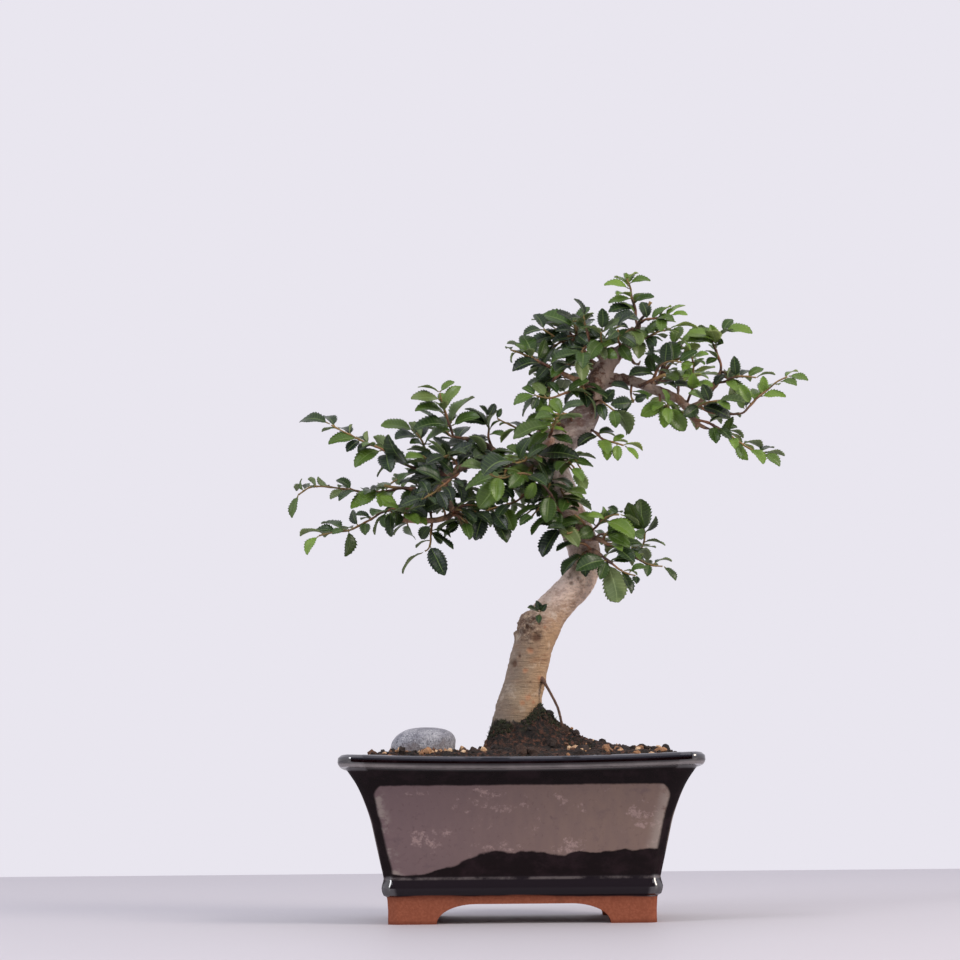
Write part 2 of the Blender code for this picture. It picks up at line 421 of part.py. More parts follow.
               (96.4, 241.8, 101.4, 237.4, -4, "fu"), (97, 242.2, 98.8, 248, 4, "l"),
               (106, 244, 111.6, 249, 4, "uf")],
        fill=1),
    "right_tip": dict(
        twig=[(83, 5, 231.2), (88, -1, 228), (95, -3, 226.8), (103, -4, 226.9), (106.4, -4, 229.8),
               (111, -5, 234.4), (115.6, -5, 238), (120, -6, 241.6), (125, -6, 244)],
        leaves=[(125, 244, 134, 242, -3, "uf"), (121, 242.2, 128.6, 239.6, -6, "uf"),
               (123, 243.2, 129.4, 246.2, 5, "u"), (113.4, 236.4, 113.4, 244.2, -2, "f"),
               (111.6, 234.8, 123.6, 234.6, -4, "fu"), (107.6, 231, 102.4, 240.6, -3, "f"),
               (104.6, 228.4, 101.2, 233, -3, "f"), (90, 227.6, 97.6, 230.2, 6, "u")],
        fill=1),
    "right_near": dict(
        twig=[(79.4, 4, 228), (82, -4, 229.4), (85, -9, 231), (88.6, -12, 232.4), (92, -14, 233)],
        leaves=[(92, 233, 105, 232.2, -2, "uf"), (91, 232.8, 97.8, 228.6, -5, "fu"),
               (84, 230.4, 98, 224.8, -3, "fu"), (84, 230.4, 76.6, 225.8, -5, "f"),
               (87, 231.8, 79, 236.4, -5, "fu"), (88, 232.2, 85.4, 240.6, -4, "f")],
        fill=0),
    "right_low": dict(
        twig=[(81.4, 4, 224.4), (87, -1, 223), (92, -4, 220.4), (98, -6, 216.4), (104, -7, 212),
               (109, -7, 209.4), (112.6, -8, 208.4)],
        leaves=[(112.6, 208.4, 120, 202.4, -3, "fu"), (112, 208.6, 122.4, 207.2, 5, "u"),
               (101.4, 214, 105.6, 205.4, -3, "fl"), (103, 213, 112, 210.4, 8, "u"),
               (92, 220.4, 98, 215, -6, "fu"), (90, 221.6, 91.2, 213.2, -5, "f"),
               (93, 220, 101, 220.8, 5, "fu"), (97, 217.4, 100.6, 224, 4, "u")],
        fill=2),
    "right_under": dict(
        twig=[(65.6, 3, 237), (66, -2, 232.6), (66.6, -5, 230.4), (69.4, -8, 230.6)],
        leaves=[(66.2, 231, 57, 226.2, -3, "f"), (66.4, 230.6, 64, 221.4, -4, "f"),
               (69.4, 230.6, 70, 222.4, -5, "f"), (69, 230.6, 67.2, 238.4, -5, "fu"),
               (69.4, 230.6, 77, 219, 2, "f")],
        fill=0),
    "crown_under": dict(
        twig=[(53, 1, 241.6), (53, -3, 238), (52.6, -6, 235), (54, -8, 232.6)],
        leaves=[(54, 232.6, 43.4, 231.6, -3, "f"), (53, 237, 57.8, 232.6, 4, "u"),
               (53, 237.6, 43.8, 240.8, -5, "uf"), (53, 233.4, 60, 235.6, -4, "f")],
        fill=0),
    "trunk_front": dict(
        twig=[(35.4, -1, 233), (38.6, -8, 233.4), (41, -11, 231.6), (44, -12, 229.4)],
        leaves=[(44, 229.4, 50.6, 217.4, 2, "r"), (43.4, 229.8, 54.2, 218.2, 7, "u"),
               (44, 229.4, 45.6, 220.8, -3, "f"), (38.4, 233.4, 40.6, 224.4, -5, "f"),
               (39, 233.2, 46.6, 236.4, -4, "f")],
        fill=0),
    "right_deep": dict(
        twig=[(66.2, 22.5, 242), (72, 28, 243), (79, 33, 244), (86, 37, 245)],
        leaves=[],
        fill=5),
    "right_deep_low": dict(
        twig=[(63, 14, 241.2), (66, 22, 236), (71, 29, 231), (77, 34, 227)],
        leaves=[],
        fill=5),
    "right_deep_up": dict(
        twig=[(64.6, 18, 241.6), (67, 22, 248), (70, 25, 254), (73, 27, 260)],
        leaves=[],
        fill=5),
}

FACING = {"u": (0, 0, 1), "f": (0, -1, 0), "b": (0, 1, 0), "l": (-1, 0, 0), "r": (1, 0, 0)}
TWIG_THICK = 0.75
TWIG_THIN = 0.48
TWIG_STEP = 9.5
FINE_STEP = 0.35
SHORTEST_TWIG = 6
FILL_SEED = 41
FILL_LENGTH = (9.0, 14.5)
FILL_ANGLE = math.radians(58)
CLEAR = 0.45
OWN_SHARE = 0.3
ROOT_SUNK = 0.02
DODGES = [
    (0, 0), (18, 0), (-18, 0), (0, 16), (0, -16), (30, 14), (-30, 14), (30, -18), (-30, -18), (48, 0),
    (-48, 0),
]


def seen(x, y, z):
    """The point at depth y, in metres, that shows at x, z in the front view."""
    reach = (y - EYE[1]) / -EYE[1]
    return Vector((EYE[0] + (x - EYE[0]) * reach, y, EYE[2] + (z - EYE[2]) * reach)) * MM


def material(name, colour, roughness, metallic=0.0):
    made = bpy.data.materials.new(name)
    made.use_nodes = True
    shader = made.node_tree.nodes["Principled BSDF"]
    shader.inputs["Base Color"].default_value = (*colour, 1.0)
    shader.inputs["Roughness"].default_value = roughness
    shader.inputs["Metallic"].default_value = metallic
    return made


def add_object(name, mesh, collection, finish=None):
    made = bpy.data.objects.new(name, mesh)
    collection.objects.link(made)
    if finish is not None:
        mesh.materials.clear()
        mesh.materials.append(finish)
    return made


def cutter(made):
    made.hide_render = True
    made.display_type = "WIRE"
    return made


def mesh_of(vertices, faces, name):
    mesh = bpy.data.meshes.new(name)
    mesh.from_pydata([tuple(v) for v in vertices], [], [tuple(f) for f in faces])
    mesh.update()
    return mesh


def boolean(target, operation, other, solver="EXACT"):
    """Apply one Boolean to the target, with an object or a collection as the other operand."""
    change = target.modifiers.new(operation.title(), "BOOLEAN")
    change.operation = operation
    change.solver = solver
    if isinstance(other, bpy.types.Collection):
        change.operand_type = "COLLECTION"
        change.collection = other
    else:
        change.object = other
    apply_modifiers(target)


def apply_modifiers(target):
    view = bpy.context.evaluated_depsgraph_get()
    view.update()
    finished = bpy.data.meshes.new_from_object(target.evaluated_get(view))
    target.modifiers.clear()
    old = target.data
    target.data = finished
    bpy.data.meshes.remove(old)


def weld(made):
    """Merge a union's short edges, by the widest of a few distances that keeps one closed skin."""
    for distance in WELDS:
        work = bmesh.new()
        work.from_mesh(made.data)
        bmesh.ops.triangulate(work, faces=work.faces)
        bmesh.ops.remove_doubles(work, verts=work.verts, dist=distance * MM)
        bmesh.ops.dissolve_degenerate(work, edges=work.edges, dist=distance * MM / 20)
        bmesh.ops.triangulate(work, faces=work.faces)
        closed = all(len(edge.link_faces) == 2 for edge in work.edges)
        closed = closed and all(vertex.is_manifold for vertex in work.verts)
        if closed:
            work.to_mesh(made.data)
        work.free()
        if closed:
            return distance
    return 0.0


def remove_collection(collection):
    for made in list(collection.objects):
        bpy.data.objects.remove(made)
    bpy.data.collections.remove(collection)


def smooth(points, step):
    """Points about one step apart on the Catmull-Rom curve through rows of numbers, ends kept."""
    rows = np.array(points, dtype=float)
    ends = np.vstack([2 * rows[0] - rows[1], rows, 2 * rows[-1] - rows[-2]])
    out = []
    for i in range(1, len(ends) - 2):
        a, b, c, d = ends[i - 1:i + 3]
        pieces = max(1, round(np.linalg.norm((c - b)[:3]) / step))
        for t in np.arange(pieces) / pieces:
            out.append(0.5 * (2 * b + (c - a) * t + (2 * a - 5 * b + 4 * c - d) * t**2
                              + (3 * b - a - 3 * c + d) * t**3))
    out.append(rows[-1])
    return np.array(out)


def tube(name, places, radii, sides, collection, finish=None):
    """A closed tube through world places in metres: a poly curve with round bevel and caps, made a mesh."""
    curve = bpy.data.curves.new(name, "CURVE")
    curve.dimensions = "3D"
    curve.bevel_depth = 1.0
    curve.bevel_resolution = (sides - 4) // 2
    curve.use_fill_caps = True
    line = curve.splines.new("POLY")
    line.points.add(len(places) - 1)
    for point, place, radius in zip(line.points, places, radii):
        point.co = (*place, 1.0)
        point.radius = radius
    bar = bpy.data.objects.new(name + "_curve", curve)
    bpy.context.scene.collection.objects.link(bar)
    view = bpy.context.evaluated_depsgraph_get()
    mesh = bpy.data.meshes.new_from_object(bar.evaluated_get(view))
    bpy.data.objects.remove(bar)
    bpy.data.curves.remove(curve)
    work = bmesh.new()
    work.from_mesh(mesh)
    bmesh.ops.remove_doubles(work, verts=work.verts, dist=0.00001)
    bmesh.ops.recalc_face_normals(work, faces=work.faces)
    work.to_mesh(mesh)
    work.free()
    return add_object(name, mesh, collection, finish)


def wood_run(name, points, step, sides, collection, finish=None, grow=0.0):
    rows = smooth(points, step)
    places = [seen(*row[:3]) for row in rows]
    if grow:
        places[0] += (places[0] - places[1]).normalized() * grow * MM
        places[-1] += (places[-1] - places[-2]).normalized() * grow * MM
    return tube(name, places, (rows[:, 3] + grow) * MM, sides, collection, finish)


def sides_of(points):
    """Thin runs of wood have fewer sides."""
    return LIMB_SIDES if points[len(points) // 2][3] >= STOUT else 4


def tree_of(made):
    """Bounding volume tree of an object's mesh; every mesh here already stands in world places."""
    mesh = made.data
    points = [vertex.co.copy() for vertex in mesh.vertices]
    return BVHTree.FromPolygons(points, [tuple(face.vertices) for face in mesh.polygons])


def build_wood(parts, finish):
    """Trunk, limbs, hanging root, stubs and burls, joined in one solid."""
    trunk = wood_run("wood", TRUNK, WOOD_STEP, TRUNK_SIDES, parts, finish)
    pieces = bpy.data.collections.new("wood_pieces")
    bpy.context.scene.collection.children.link(pieces)
    for name, points in LIMBS.items():
        wood_run(name, points, WOOD_STEP, sides_of(points), pieces)
    for x, y, z, radius in KNOBS:
        work = bmesh.new()
        bmesh.ops.create_icosphere(work, subdivisions=1, radius=radius * MM)
        bmesh.ops.translate(work, verts=work.verts, vec=seen(x, y, z))
        mesh = bpy.data.meshes.new("burl")
        work.to_mesh(mesh)
        work.free()
        add_object("burl", mesh, pieces)
    boolean(trunk, "UNION", pieces, "MANIFOLD")
    remove_collection(pieces)
    weld(trunk)
    trunk.data.shade_smooth()
    trunk.data.set_sharp_from_angle(angle=WOOD_CREASE)
    return trunk


def outline(half_x, half_y, corner, straight, turn=2):
    """Points of a rounded rectangle, counter-clockwise: corners in turn steps, sides in straight steps."""
    corner = min(corner, half_x - 0.5, half_y - 0.5)
    ends = []
    for quarter, (sx, sy) in enumerate(((1, 1), (-1, 1), (-1, -1), (1, -1))):
        for i in range(turn + 1):
            angle = math.pi / 2 * (quarter + i / turn)
            ends.append((sx * (half_x - corner) + corner * math.cos(angle),
                         sy * (half_y - corner) + corner * math.sin(angle)))
    points = []
    for i, (start, end) in enumerate(zip(ends, ends[1:] + ends[:1])):
        pieces = straight if (i + 1) % (turn + 1) == 0 else 1
        for t in np.arange(pieces) / pieces:
            points.append((start[0] + (end[0] - start[0]) * t, start[1] + (end[1] - start[1]) * t))
    return points


def loft(name, rings, collection, finish):
    """Closed skin over rings of equally many points, with the first and last ring filled."""
    count = len(rings[0])
    vertices = [(x * MM, y * MM, z * MM) for ring in rings for x, y, z in ring]
    faces = []
    for j in range(len(rings) - 1):
        for i in range(count):
            k = (i + 1) % count
            faces.append((j * count + i, j * count + k, (j + 1) * count + k, (j + 1) * count + i))
    faces.append(tuple(reversed(range(count))))
    faces.append(tuple((len(rings) - 1) * count + i for i in range(count)))
    return add_object(name, mesh_of(vertices, faces, name), collection, finish)


def corner_at(inset):
    return CORNER_FOOT + (CORNER_RIM - CORNER_FOOT) * max(0.0, 1 - inset / FOOT_INSET)


def lip_drop(x, y, height):
    """How far the lip sags in the middle of each side, in millimetres, fading out down the wall."""
    share = max(0.0, (height - LIP_FADE[0]) / LIP_FADE[1])
    along = x / RIM_X if abs(y) > abs(x) * RIM_Y / RIM_X else y / RIM_Y
    return LIP_SAG * min(1.0, share) * max(0.0, 1 - along**2)


def wall_ring(inset, height, straight):
    half_x = RIM_X - inset
    half_y = RIM_Y - inset
    ring = outline(half_x, half_y, corner_at(inset), straight)
    return [(x, y, height - lip_drop(x, y, height)) for x, y in ring]


def arch_cutter(name, start, end, curve, across, cutters):
    """Flat prism with an arched top through the pot's foot, along Y, or along X where across is true."""
    turns = [math.pi / 2 * i / ARCH_STEPS for i in range(ARCH_STEPS + 1)]
    right = [(end - curve * (1 - math.cos(turn)), ARCH_TOP * math.sin(turn)) for turn in turns]
    left = [(start + curve * (1 - math.cos(turn)), ARCH_TOP * math.sin(turn)) for turn in reversed(turns)]
    section = [(start, -ARCH_BELOW), (end, -ARCH_BELOW)] + right + left
    rings = [[(x, -ARCH_REACH, z) for x, z in section], [(x, ARCH_REACH, z) for x, z in section]]
    if across:
        rings = [[(y, x, z) for x, y, z in ring] for ring in rings]
    made = cutter(loft(name, rings, cutters, None))
    turn_outwards(made)
    return made


def turn_outwards(made):
    work = bmesh.new()
    work.from_mesh(made.data)
    bmesh.ops.recalc_face_normals(work, faces=work.faces)
    work.to_mesh(made.data)
    work.free()


def build_pot(parts, cutters, finish):
    rings = [wall_ring(inset, height, 2) for inset, height in OUTER_WALL + INNER_WALL]
    pot = loft("pot", rings, parts, finish)
    recess = loft(
        "pot_recess",
        [[(x, y, z) for x, y in outline(RIM_X - RECESS_INSET, RIM_Y - RECESS_INSET, CORNER_FOOT, 1)]
         for z in (-2.0, RECESS_TOP)], cutters, None)
    boolean(pot, "DIFFERENCE", cutter(recess))
    start, end, curve = FRONT_ARCH
    boolean(pot, "DIFFERENCE", arch_cutter("pot_arch_front", start, end, curve, False, cutters))
    start, end, curve = SIDE_ARCH
    boolean(pot, "DIFFERENCE", arch_cutter("pot_arch_side", start, end, curve, True, cutters))
    for side in (-1, 1):
        work = bmesh.new()
        bmesh.ops.create_cone(work, cap_ends=True, segments=DRAIN_SIDES, radius1=DRAIN_RADIUS * MM,
                              radius2=DRAIN_RADIUS * MM, depth=DRAIN_LENGTH * MM)
        bmesh.ops.translate(work, verts=work.verts, vec=(side * DRAIN_X * MM, 0, DRAIN_MIDDLE * MM))
        mesh = bpy.data.meshes.new("drain")
        work.to_mesh(mesh)
        work.free()
        boolean(pot, "DIFFERENCE", cutter(add_object("pot_drain", mesh, cutters)))
    pot.data.shade_smooth()
    pot.data.set_sharp_from_angle(angle=POT_CREASE)
    return pot


def soil_height(x, y):
    """Open soil surface in millimetres: level earth that dips at the walls, and the mound at the trunk.

    The mound is higher right of MOUND_STEP, drops steeply at its left, and falls off exponentially to the
    right."""
    edge = min(RIM_X - LIP_CLEAR - abs(x), RIM_Y - LIP_CLEAR - abs(y))
    rise = min(1.0, max(0.0, edge / SOIL_CROWN_STEP))
    level = SOIL_EDGE + (SOIL_LEVEL - SOIL_EDGE) * rise * rise * (3 - 2 * rise)
    step = min(1.0, max(0.0, (x - MOUND_STEP[0]) / MOUND_STEP[1]))
    top = MOUND_TOPS[0] + (MOUND_TOPS[1] - MOUND_TOPS[0]) * step * step * (3 - 2 * step)
    left = math.exp(-(max(0.0, MOUND_X - x) / MOUND_LEFT[0]) ** MOUND_LEFT[1])
    right = math.exp(-max(0.0, x - MOUND_RIGHT[0]) / MOUND_RIGHT[1])
    return level + top * left * right * math.exp(-(abs(y) / MOUND_DEPTH[0]) ** MOUND_DEPTH[1])


def build_soil(parts, finish, hollows):
    """Soil fills the pot just clear of its wall; the trunk stands in a plain hole, the stone in a dimple."""
    rings = [wall_ring(inset + SOIL_WALL_GAP, max(height, SOIL_BED), 3)
             for inset, height in reversed(INNER_WALL[3:])]
    rings.append(wall_ring(INNER_WALL[2][0] + SOIL_LIP_GAP, SOIL_SHOULDER, 3))
    inset, top = SOIL_BORDER
    border = outline(RIM_X - inset, RIM_Y - inset, corner_at(inset), 3)
    rings.append([(x, y, top - lip_drop(x, y, top)) for x, y in border])
    for share in SOIL_SHARES:
        ring = []
        for x, y in border:
            rest = 1 - share
            direction = math.atan2(y / RIM_Y, x / RIM_X)
            px = x * share + (MOUND_X + SOIL_HUB * math.cos(direction)) * rest
            py = y * share + SOIL_HUB * math.sin(direction) * rest
            ring.append((px, py, soil_height(px, py)))
        rings.append(ring)
    soil = loft("soil", rings, parts, finish)
    for hollow in hollows:
        boolean(soil, "DIFFERENCE", hollow)
    soil.data.shade_smooth()
    soil.data.set_sharp_from_angle(angle=SOIL_CREASE)
    return soil


def stone_bulge(way):
    """How far the stone swells in a direction, about 1: two slow waves round it."""
    return 1 + 0.07 * math.sin(2.3 * way.x + 1.1 * way.z + 0.6) + 0.05 * math.sin(3.1 * way.y - 1.7 * way.x)


def pebble(name, grow, collection, finish):
    """Water-worn stone: a subdivided cube made round, then swollen, squared and leant to the right."""
    work = bmesh.new()
    bmesh.ops.create_cube(work, size=2.0)
    bmesh.ops.subdivide_edges(work, edges=work.edges, cuts=STONE_CUTS, use_grid_fill=True)
    for vertex in work.verts:
        way = vertex.co.normalized()
        bulge = stone_bulge(way)
        size = [(half + grow) * (abs(part) ** STONE_SQUARENESS) * math.copysign(1, part) * bulge
                for half, part in zip(STONE_HALF, way)]
        size[0] += STONE_LEAN * way.z
        vertex.co = Vector([(m + s) * MM for m, s in zip(STONE_MIDDLE, size)])
    mesh = bpy.data.meshes.new(name)
    bmesh.ops.triangulate(work, faces=work.faces)
    work.to_mesh(mesh)
    work.free()
    made = add_object(name, mesh, collection, finish)
    turn_outwards(made)
    made.data.shade_smooth()
    return made


def facing(code):
    total = Vector((0, 0, 0))
    for letter in code:
        total += Vector(FACING[letter])
    return total.normalized()


def blade_surface(base, tip, up, width, large):
    """Points, faces and upper side of a leaf: two halves folded up from the midrib, arched if it is large."""
    along = tip - base
    length = along.length
    along.normalize()
    upper = up - along * up.dot(along)
    if upper.length < 0.05:
        upper = along.orthogonal()
    upper.normalize()
    side = along.cross(upper)
    edge = BLADE_LARGE if large else BLADE_SMALL
    rise = length * BLADE_ARCH if large else 0.0
    points = [base - along * ROOT_SUNK * MM, tip]
    if large:
        points.append(base + along * length * 0.5 + upper * rise)
    first = len(points)
    for hand in (-1, 1):
        for share, spread in edge:
            out = spread * width / 2
            lift = rise * 4 * share * (1 - share) + out * BLADE_FOLD
            points.append(base + along * length * share + side * out * hand + upper * lift)
    faces = []
    for hand in (0, 1):
        corner = first + hand * len(edge)
        rim = [0] + list(range(corner, corner + len(edge))) + [1]
        hub = 2 if large else 0
        half = [(hub, a, b) for a, b in zip(rim, rim[1:]) if hub not in (a, b)]
        faces += half if hand else [face[::-1] for face in half]
    return points, faces, upper


def plate_tree(points, faces, upper, half):
    """Tree of a leaf's two faces, each moved half a clearance off the middle surface."""
    count = len(points)
    both = [p + upper * half for p in points] + [p - upper * half for p in points]
    skin = list(faces) + [tuple(count + i for i in face) for face in faces]
    for face in faces:
        skin.append((face[0], face[1], count + face[1], count + face[0]))
    return BVHTree.FromPolygons(both, skin)


def near_point(rows, x, z):
    """The row of a twig, as seen from the front, that lies nearest to x, z."""
    gaps = (rows[:, 0] - x) ** 2 + (rows[:, 2] - z) ** 2
    return int(np.argmin(gaps))


def on_axis(places, point):
    """The place nearest to a point on the straight pieces that a twig is built of."""
    nearest = []
    for start, end in zip(places, places[1:]):
        run = end - start
        share = min(1.0, max(0.0, (point - start).dot(run) / run.length_squared))
        nearest.append(start + run * share)
    return min(nearest, key=lambda place: (place - point).length)


class Foliage:
    """Places shoots so that no blade or twig crosses another node."""

    def __init__(self, wood, others):
        self.wood = tree_of(wood)
        self.solid = [("wood", self.wood)] + [(made.name, tree_of(made)) for made in others]
        self.skipped = []

    def clear(self, name, skin, outer):
        """True where a leaf misses every other node, and the outer part of it misses its own shoot too."""
        for owner, tree in self.solid:
            if (outer if owner == name else skin).overlap(tree):
                return False
        return True

    def seated(self, places, radius):
        """True where the first stretch of a twig, and its end, clear the wood by the gap."""
        way = (places[1] - places[0]).normalized()
        side = way.orthogonal().normalized()
        other = way.cross(side)
        for share in (0.0, 0.1, 0.25, 0.5, 0.8):
            middle = places[0].lerp(places[1], share)
            for turn in range(8):
                angle = turn * math.pi / 4
                place = middle + (side * math.cos(angle) + other * math.sin(angle)) * radius
                hit, normal, _, distance = self.wood.find_nearest(place)
                if distance < GAP * MM or (place - hit).dot(normal) < 0:
                    return False
        return True

    def grow_twig(self, rows):
        """Fine rows of a twig from where it leaves the wood, and the places and radii that it is built on."""
        fine = smooth(rows, FINE_STEP)
        step = round(TWIG_STEP / FINE_STEP)
        for first in range(len(fine) - SHORTEST_TWIG):
            kept = fine[first:]
            index = list(range(0, len(kept) - 1, step))
            if len(kept) - 1 - index[-1] < step // 2 and len(index) > 1:
                index.pop()
            index.append(len(kept) - 1)
            places = [seen(*row) for row in kept[index]]
            if self.seated(places, TWIG_THICK * MM):
                break
        radii = np.linspace(TWIG_THICK, TWIG_THIN, len(places)) * MM
        return kept, places, radii

    def place_blade(self, name, base, tip, up, width):
        """Try the leaf as given, then turned aside. It may touch its own shoot only where nothing is clear."""
        along = tip - base
        large = along.length >= LARGE_BLADE * MM
        crossing = None
        for swing, pitch in DODGES:
            side = along.cross(up)
            if side.length < 1e-9:
                side = along.orthogonal()
            turned = rotate(rotate(along, up, math.radians(swing)), side, math.radians(pitch))
            points, faces, _ = blade_surface(base, base + turned, up, width, large)
            longer = turned * (1 + CLEAR * MM / turned.length)
            wider = blade_surface(base, base + longer, up, width + 2 * CLEAR * MM, large)
            skin = plate_tree(*wider, (BLADE / 2 + CLEAR) * MM)
            near = base + turned * OWN_SHARE
            outer = plate_tree(*blade_surface(near, base + turned, up, width, large), BLADE / 2 * MM)
            if self.clear(name, skin, outer):
                self.solid.append((name, outer))
                return points, faces
            others = (tree for owner, tree in self.solid if owner != name)
            if crossing is None and not any(skin.overlap(tree) for tree in others):
                crossing = (points, faces, outer)
        if crossing is None:
            self.skipped.append(name)
            return None
        self.solid.append((name, crossing[2]))
        return crossing[:2]


def rotate(vector, axis, angle):
    axis = axis.normalized()
    return (vector * math.cos(angle) + axis.cross(vector) * math.sin(angle)
            + axis * axis.dot(vector) * (1 - math.cos(angle)))


def fill_blades(spec, kept, draw):
    """Base, tip and upper side of the leaves that follow the two-ranked rule along a twig."""
    count = spec["fill"]
    out = []
    for i in range(count):
        share = 0.22 + 0.78 * (i + 0.5) / count if count > 1 else 0.6
        at = min(len(kept) - 3, int(share * (len(kept) - 1)))
        base = seen(*kept[at])
        way = (seen(*kept[at + 2]) - base).normalized()
        up = Vector((0, -0.25, 1)).normalized()
        across = way.cross(up).normalized() * (1 if i % 2 else -1)
        tilt = draw.uniform(-0.45, 0.35)
        last = i == count - 1 and not spec["leaves"]
        angle = 0.15 if last else FILL_ANGLE + draw.uniform(-0.25, 0.25)
        aim = (way * math.cos(angle) + across * math.sin(angle)).normalized()
        aim = (aim + up * tilt).normalized()
        out.append((base, base + aim * draw.uniform(*FILL_LENGTH) * MM, up))
    return out


def build_shoots(parts, finish, foliage):
    draw = random.Random(FILL_SEED)
    made = {}
    twigs = {}
    axes = {}
    for name, spec in SHOOTS.items():
        kept, places, radii = foliage.grow_twig(spec["twig"])
        node = "shoot_" + name
        twig = tube(node, places, radii, 4, parts, finish)
        foliage.solid.append((node, tree_of(twig)))
        twigs[name] = kept
        axes[name] = places
        made[name] = twig
    for name, spec in SHOOTS.items():
        node = "shoot_" + name
        kept = twigs[name]
        leaves = bpy.data.collections.new(name + "_leaves")
        bpy.context.scene.collection.children.link(leaves)
        wanted = []
        for bx, bz, tx, tz, behind, code in spec["leaves"]:
            if math.hypot(bx - tx, bz - tz, behind) < SMALLEST_BLADE:
                continue
            row = kept[near_point(kept, bx, bz)]
            wanted.append((seen(*row), seen(tx, row[1] + behind, tz), facing(code)))
        wanted += fill_blades(spec, kept, draw)
        for start, tip, up in wanted:
            base = on_axis(axes[name], start)
            width = (tip - base).length * BLADE_WIDTH
            placed = foliage.place_blade(node, base, tip, up, width)
            if placed is None:
                continue
            blade = add_object("blade", mesh_of(*placed, "blade"), leaves)
            plate = blade.modifiers.new("Blade", "SOLIDIFY")
            plate.thickness = BLADE * MM
            plate.offset = 0.0
            apply_modifiers(blade)
            turn_outwards(blade)
        boolean(made[name], "UNION", leaves, "MANIFOLD")
        remove_collection(leaves)
        weld(made[name])


def centre_on_floor(parts, cutters):
    """Move everything so that the whole object's box stands on the origin by the middle of its underside."""
    corners = np.array([v.co[:] for made in parts.objects for v in made.data.vertices])
    low = corners.min(axis=0)
    high = corners.max(axis=0)
    shift = Vector((-(low[0] + high[0]) / 2, -(low[1] + high[1]) / 2, -low[2]))
    for made in list(parts.objects) + list(cutters.objects):
        for vertex in made.data.vertices:
            vertex.co += shift


def main():
    for made in list(bpy.data.objects):
        bpy.data.objects.remove(made)
    parts = bpy.data.collections.new(OBJECT)
    cutters = bpy.data.collections.new("cutters")
    bpy.context.scene.collection.children.link(parts)
    bpy.context.scene.collection.children.link(cutters)
    glaze = material("glazed_stoneware", (0.035, 0.032, 0.04), 0.12)
    earth = material("soil", (0.10, 0.07, 0.045), 0.95)
    rock = material("river_stone", (0.16, 0.17, 0.18), 0.6)
    bark = material("bark", (0.33, 0.25, 0.19), 0.85)
    leaf = material("leaf", (0.06, 0.15, 0.03), 0.4)
    build_pot(parts, cutters, glaze)
    wood = build_wood(parts, bark)
    stone = pebble("stone", 0.0, parts, rock)
    stone_cut = cutter(pebble("stone_hollow", GAP, cutters, None))
    wood_cut = cutter(wood_run("wood_hollow", TRUNK[:5], WOOD_STEP, TRUNK_SIDES, cutters, None, GAP))
    root = LIMBS["aerial_root"]
    root_cut = cutter(wood_run("root_hollow", root, WOOD_STEP, sides_of(root), cutters, None, GAP))
    soil = build_soil(parts, earth, (wood_cut, root_cut, stone_cut))
    foliage = Foliage(wood, [soil, stone, parts.objects["pot"]])
    build_shoots(parts, leaf, foliage)
    centre_on_floor(parts, cutters)
    return foliage


if __name__ == "__main__":
    main()
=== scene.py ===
"""Looks of the chinese elm bonsai: glazed pot, soil with grit and moss, stone, bark, twigs, toothed leaves.

A point of the tree is written as x, y, z in millimetres the way it shows in the front view, seen from EYE: x
and z are where it shows on the upright plane through the middle of the pot, and y is how far behind that
plane it really lies. seen() slides it along the line of sight to that depth, and shown() takes it back.
"""

import math
import random

import bmesh
import bpy
import numpy as np
from mathutils import Matrix, Vector
from mathutils.bvhtree import BVHTree


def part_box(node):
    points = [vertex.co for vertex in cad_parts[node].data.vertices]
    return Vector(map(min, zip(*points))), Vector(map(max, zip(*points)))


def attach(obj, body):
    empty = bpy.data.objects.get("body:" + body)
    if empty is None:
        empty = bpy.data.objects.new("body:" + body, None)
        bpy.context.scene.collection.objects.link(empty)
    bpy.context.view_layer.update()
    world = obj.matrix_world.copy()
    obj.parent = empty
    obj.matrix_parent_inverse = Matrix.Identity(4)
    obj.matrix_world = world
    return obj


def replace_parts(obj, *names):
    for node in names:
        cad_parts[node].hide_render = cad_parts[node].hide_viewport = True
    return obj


bl_info = {
    "name": "Chinese elm bonsai",
    "version": (1, 0, 0),
    "blender": (4, 5, 0),
    "location": "3D View > Sidebar > Bonsai",
    "description": "Dresses the solids of a small elm tree in a glazed pot",
    "category": "Object",
}

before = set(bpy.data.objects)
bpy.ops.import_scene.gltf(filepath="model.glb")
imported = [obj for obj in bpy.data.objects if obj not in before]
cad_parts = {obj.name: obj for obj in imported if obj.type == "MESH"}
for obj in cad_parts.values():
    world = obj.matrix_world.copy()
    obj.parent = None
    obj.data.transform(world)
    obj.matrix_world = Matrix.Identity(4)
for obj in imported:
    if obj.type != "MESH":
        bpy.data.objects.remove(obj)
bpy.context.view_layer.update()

MM = 0.001
EYE = (-16.7, -1100.0, 55.2)
POT_LOW, POT_HIGH = (np.array(corner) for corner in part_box("pot"))
ORIGIN = np.array([(POT_LOW[0] + POT_HIGH[0]) / 2, (POT_LOW[1] + POT_HIGH[1]) / 2, 0.0])


def table(text):
    """Rows of a table: commas part the rows, blanks part the numbers, and a word stays a word."""
    return [tuple(word if word.isalpha() else float(word) for word in row.split())
            for row in text.split(",") if row.strip()]


def named(text):
    """Tables by name, each written as "name: rows" and parted from the next by a semicolon."""
    parts = (part.split(":") for part in text.split(";"))
    return {name.strip(): table(rows) for name, rows in parts}


def shoot_table(text):
    """Shoots by name, as their twig rows, their leaf rows and how many more leaves they grow."""
    shoots = {}
    for part in text.split(";"):
        head, rows = part.split(":")
        name, fill = head.split()
        twig, leaves = rows.split("|")
        shoots[name] = (table(twig), table(leaves), int(fill))
    return shoots


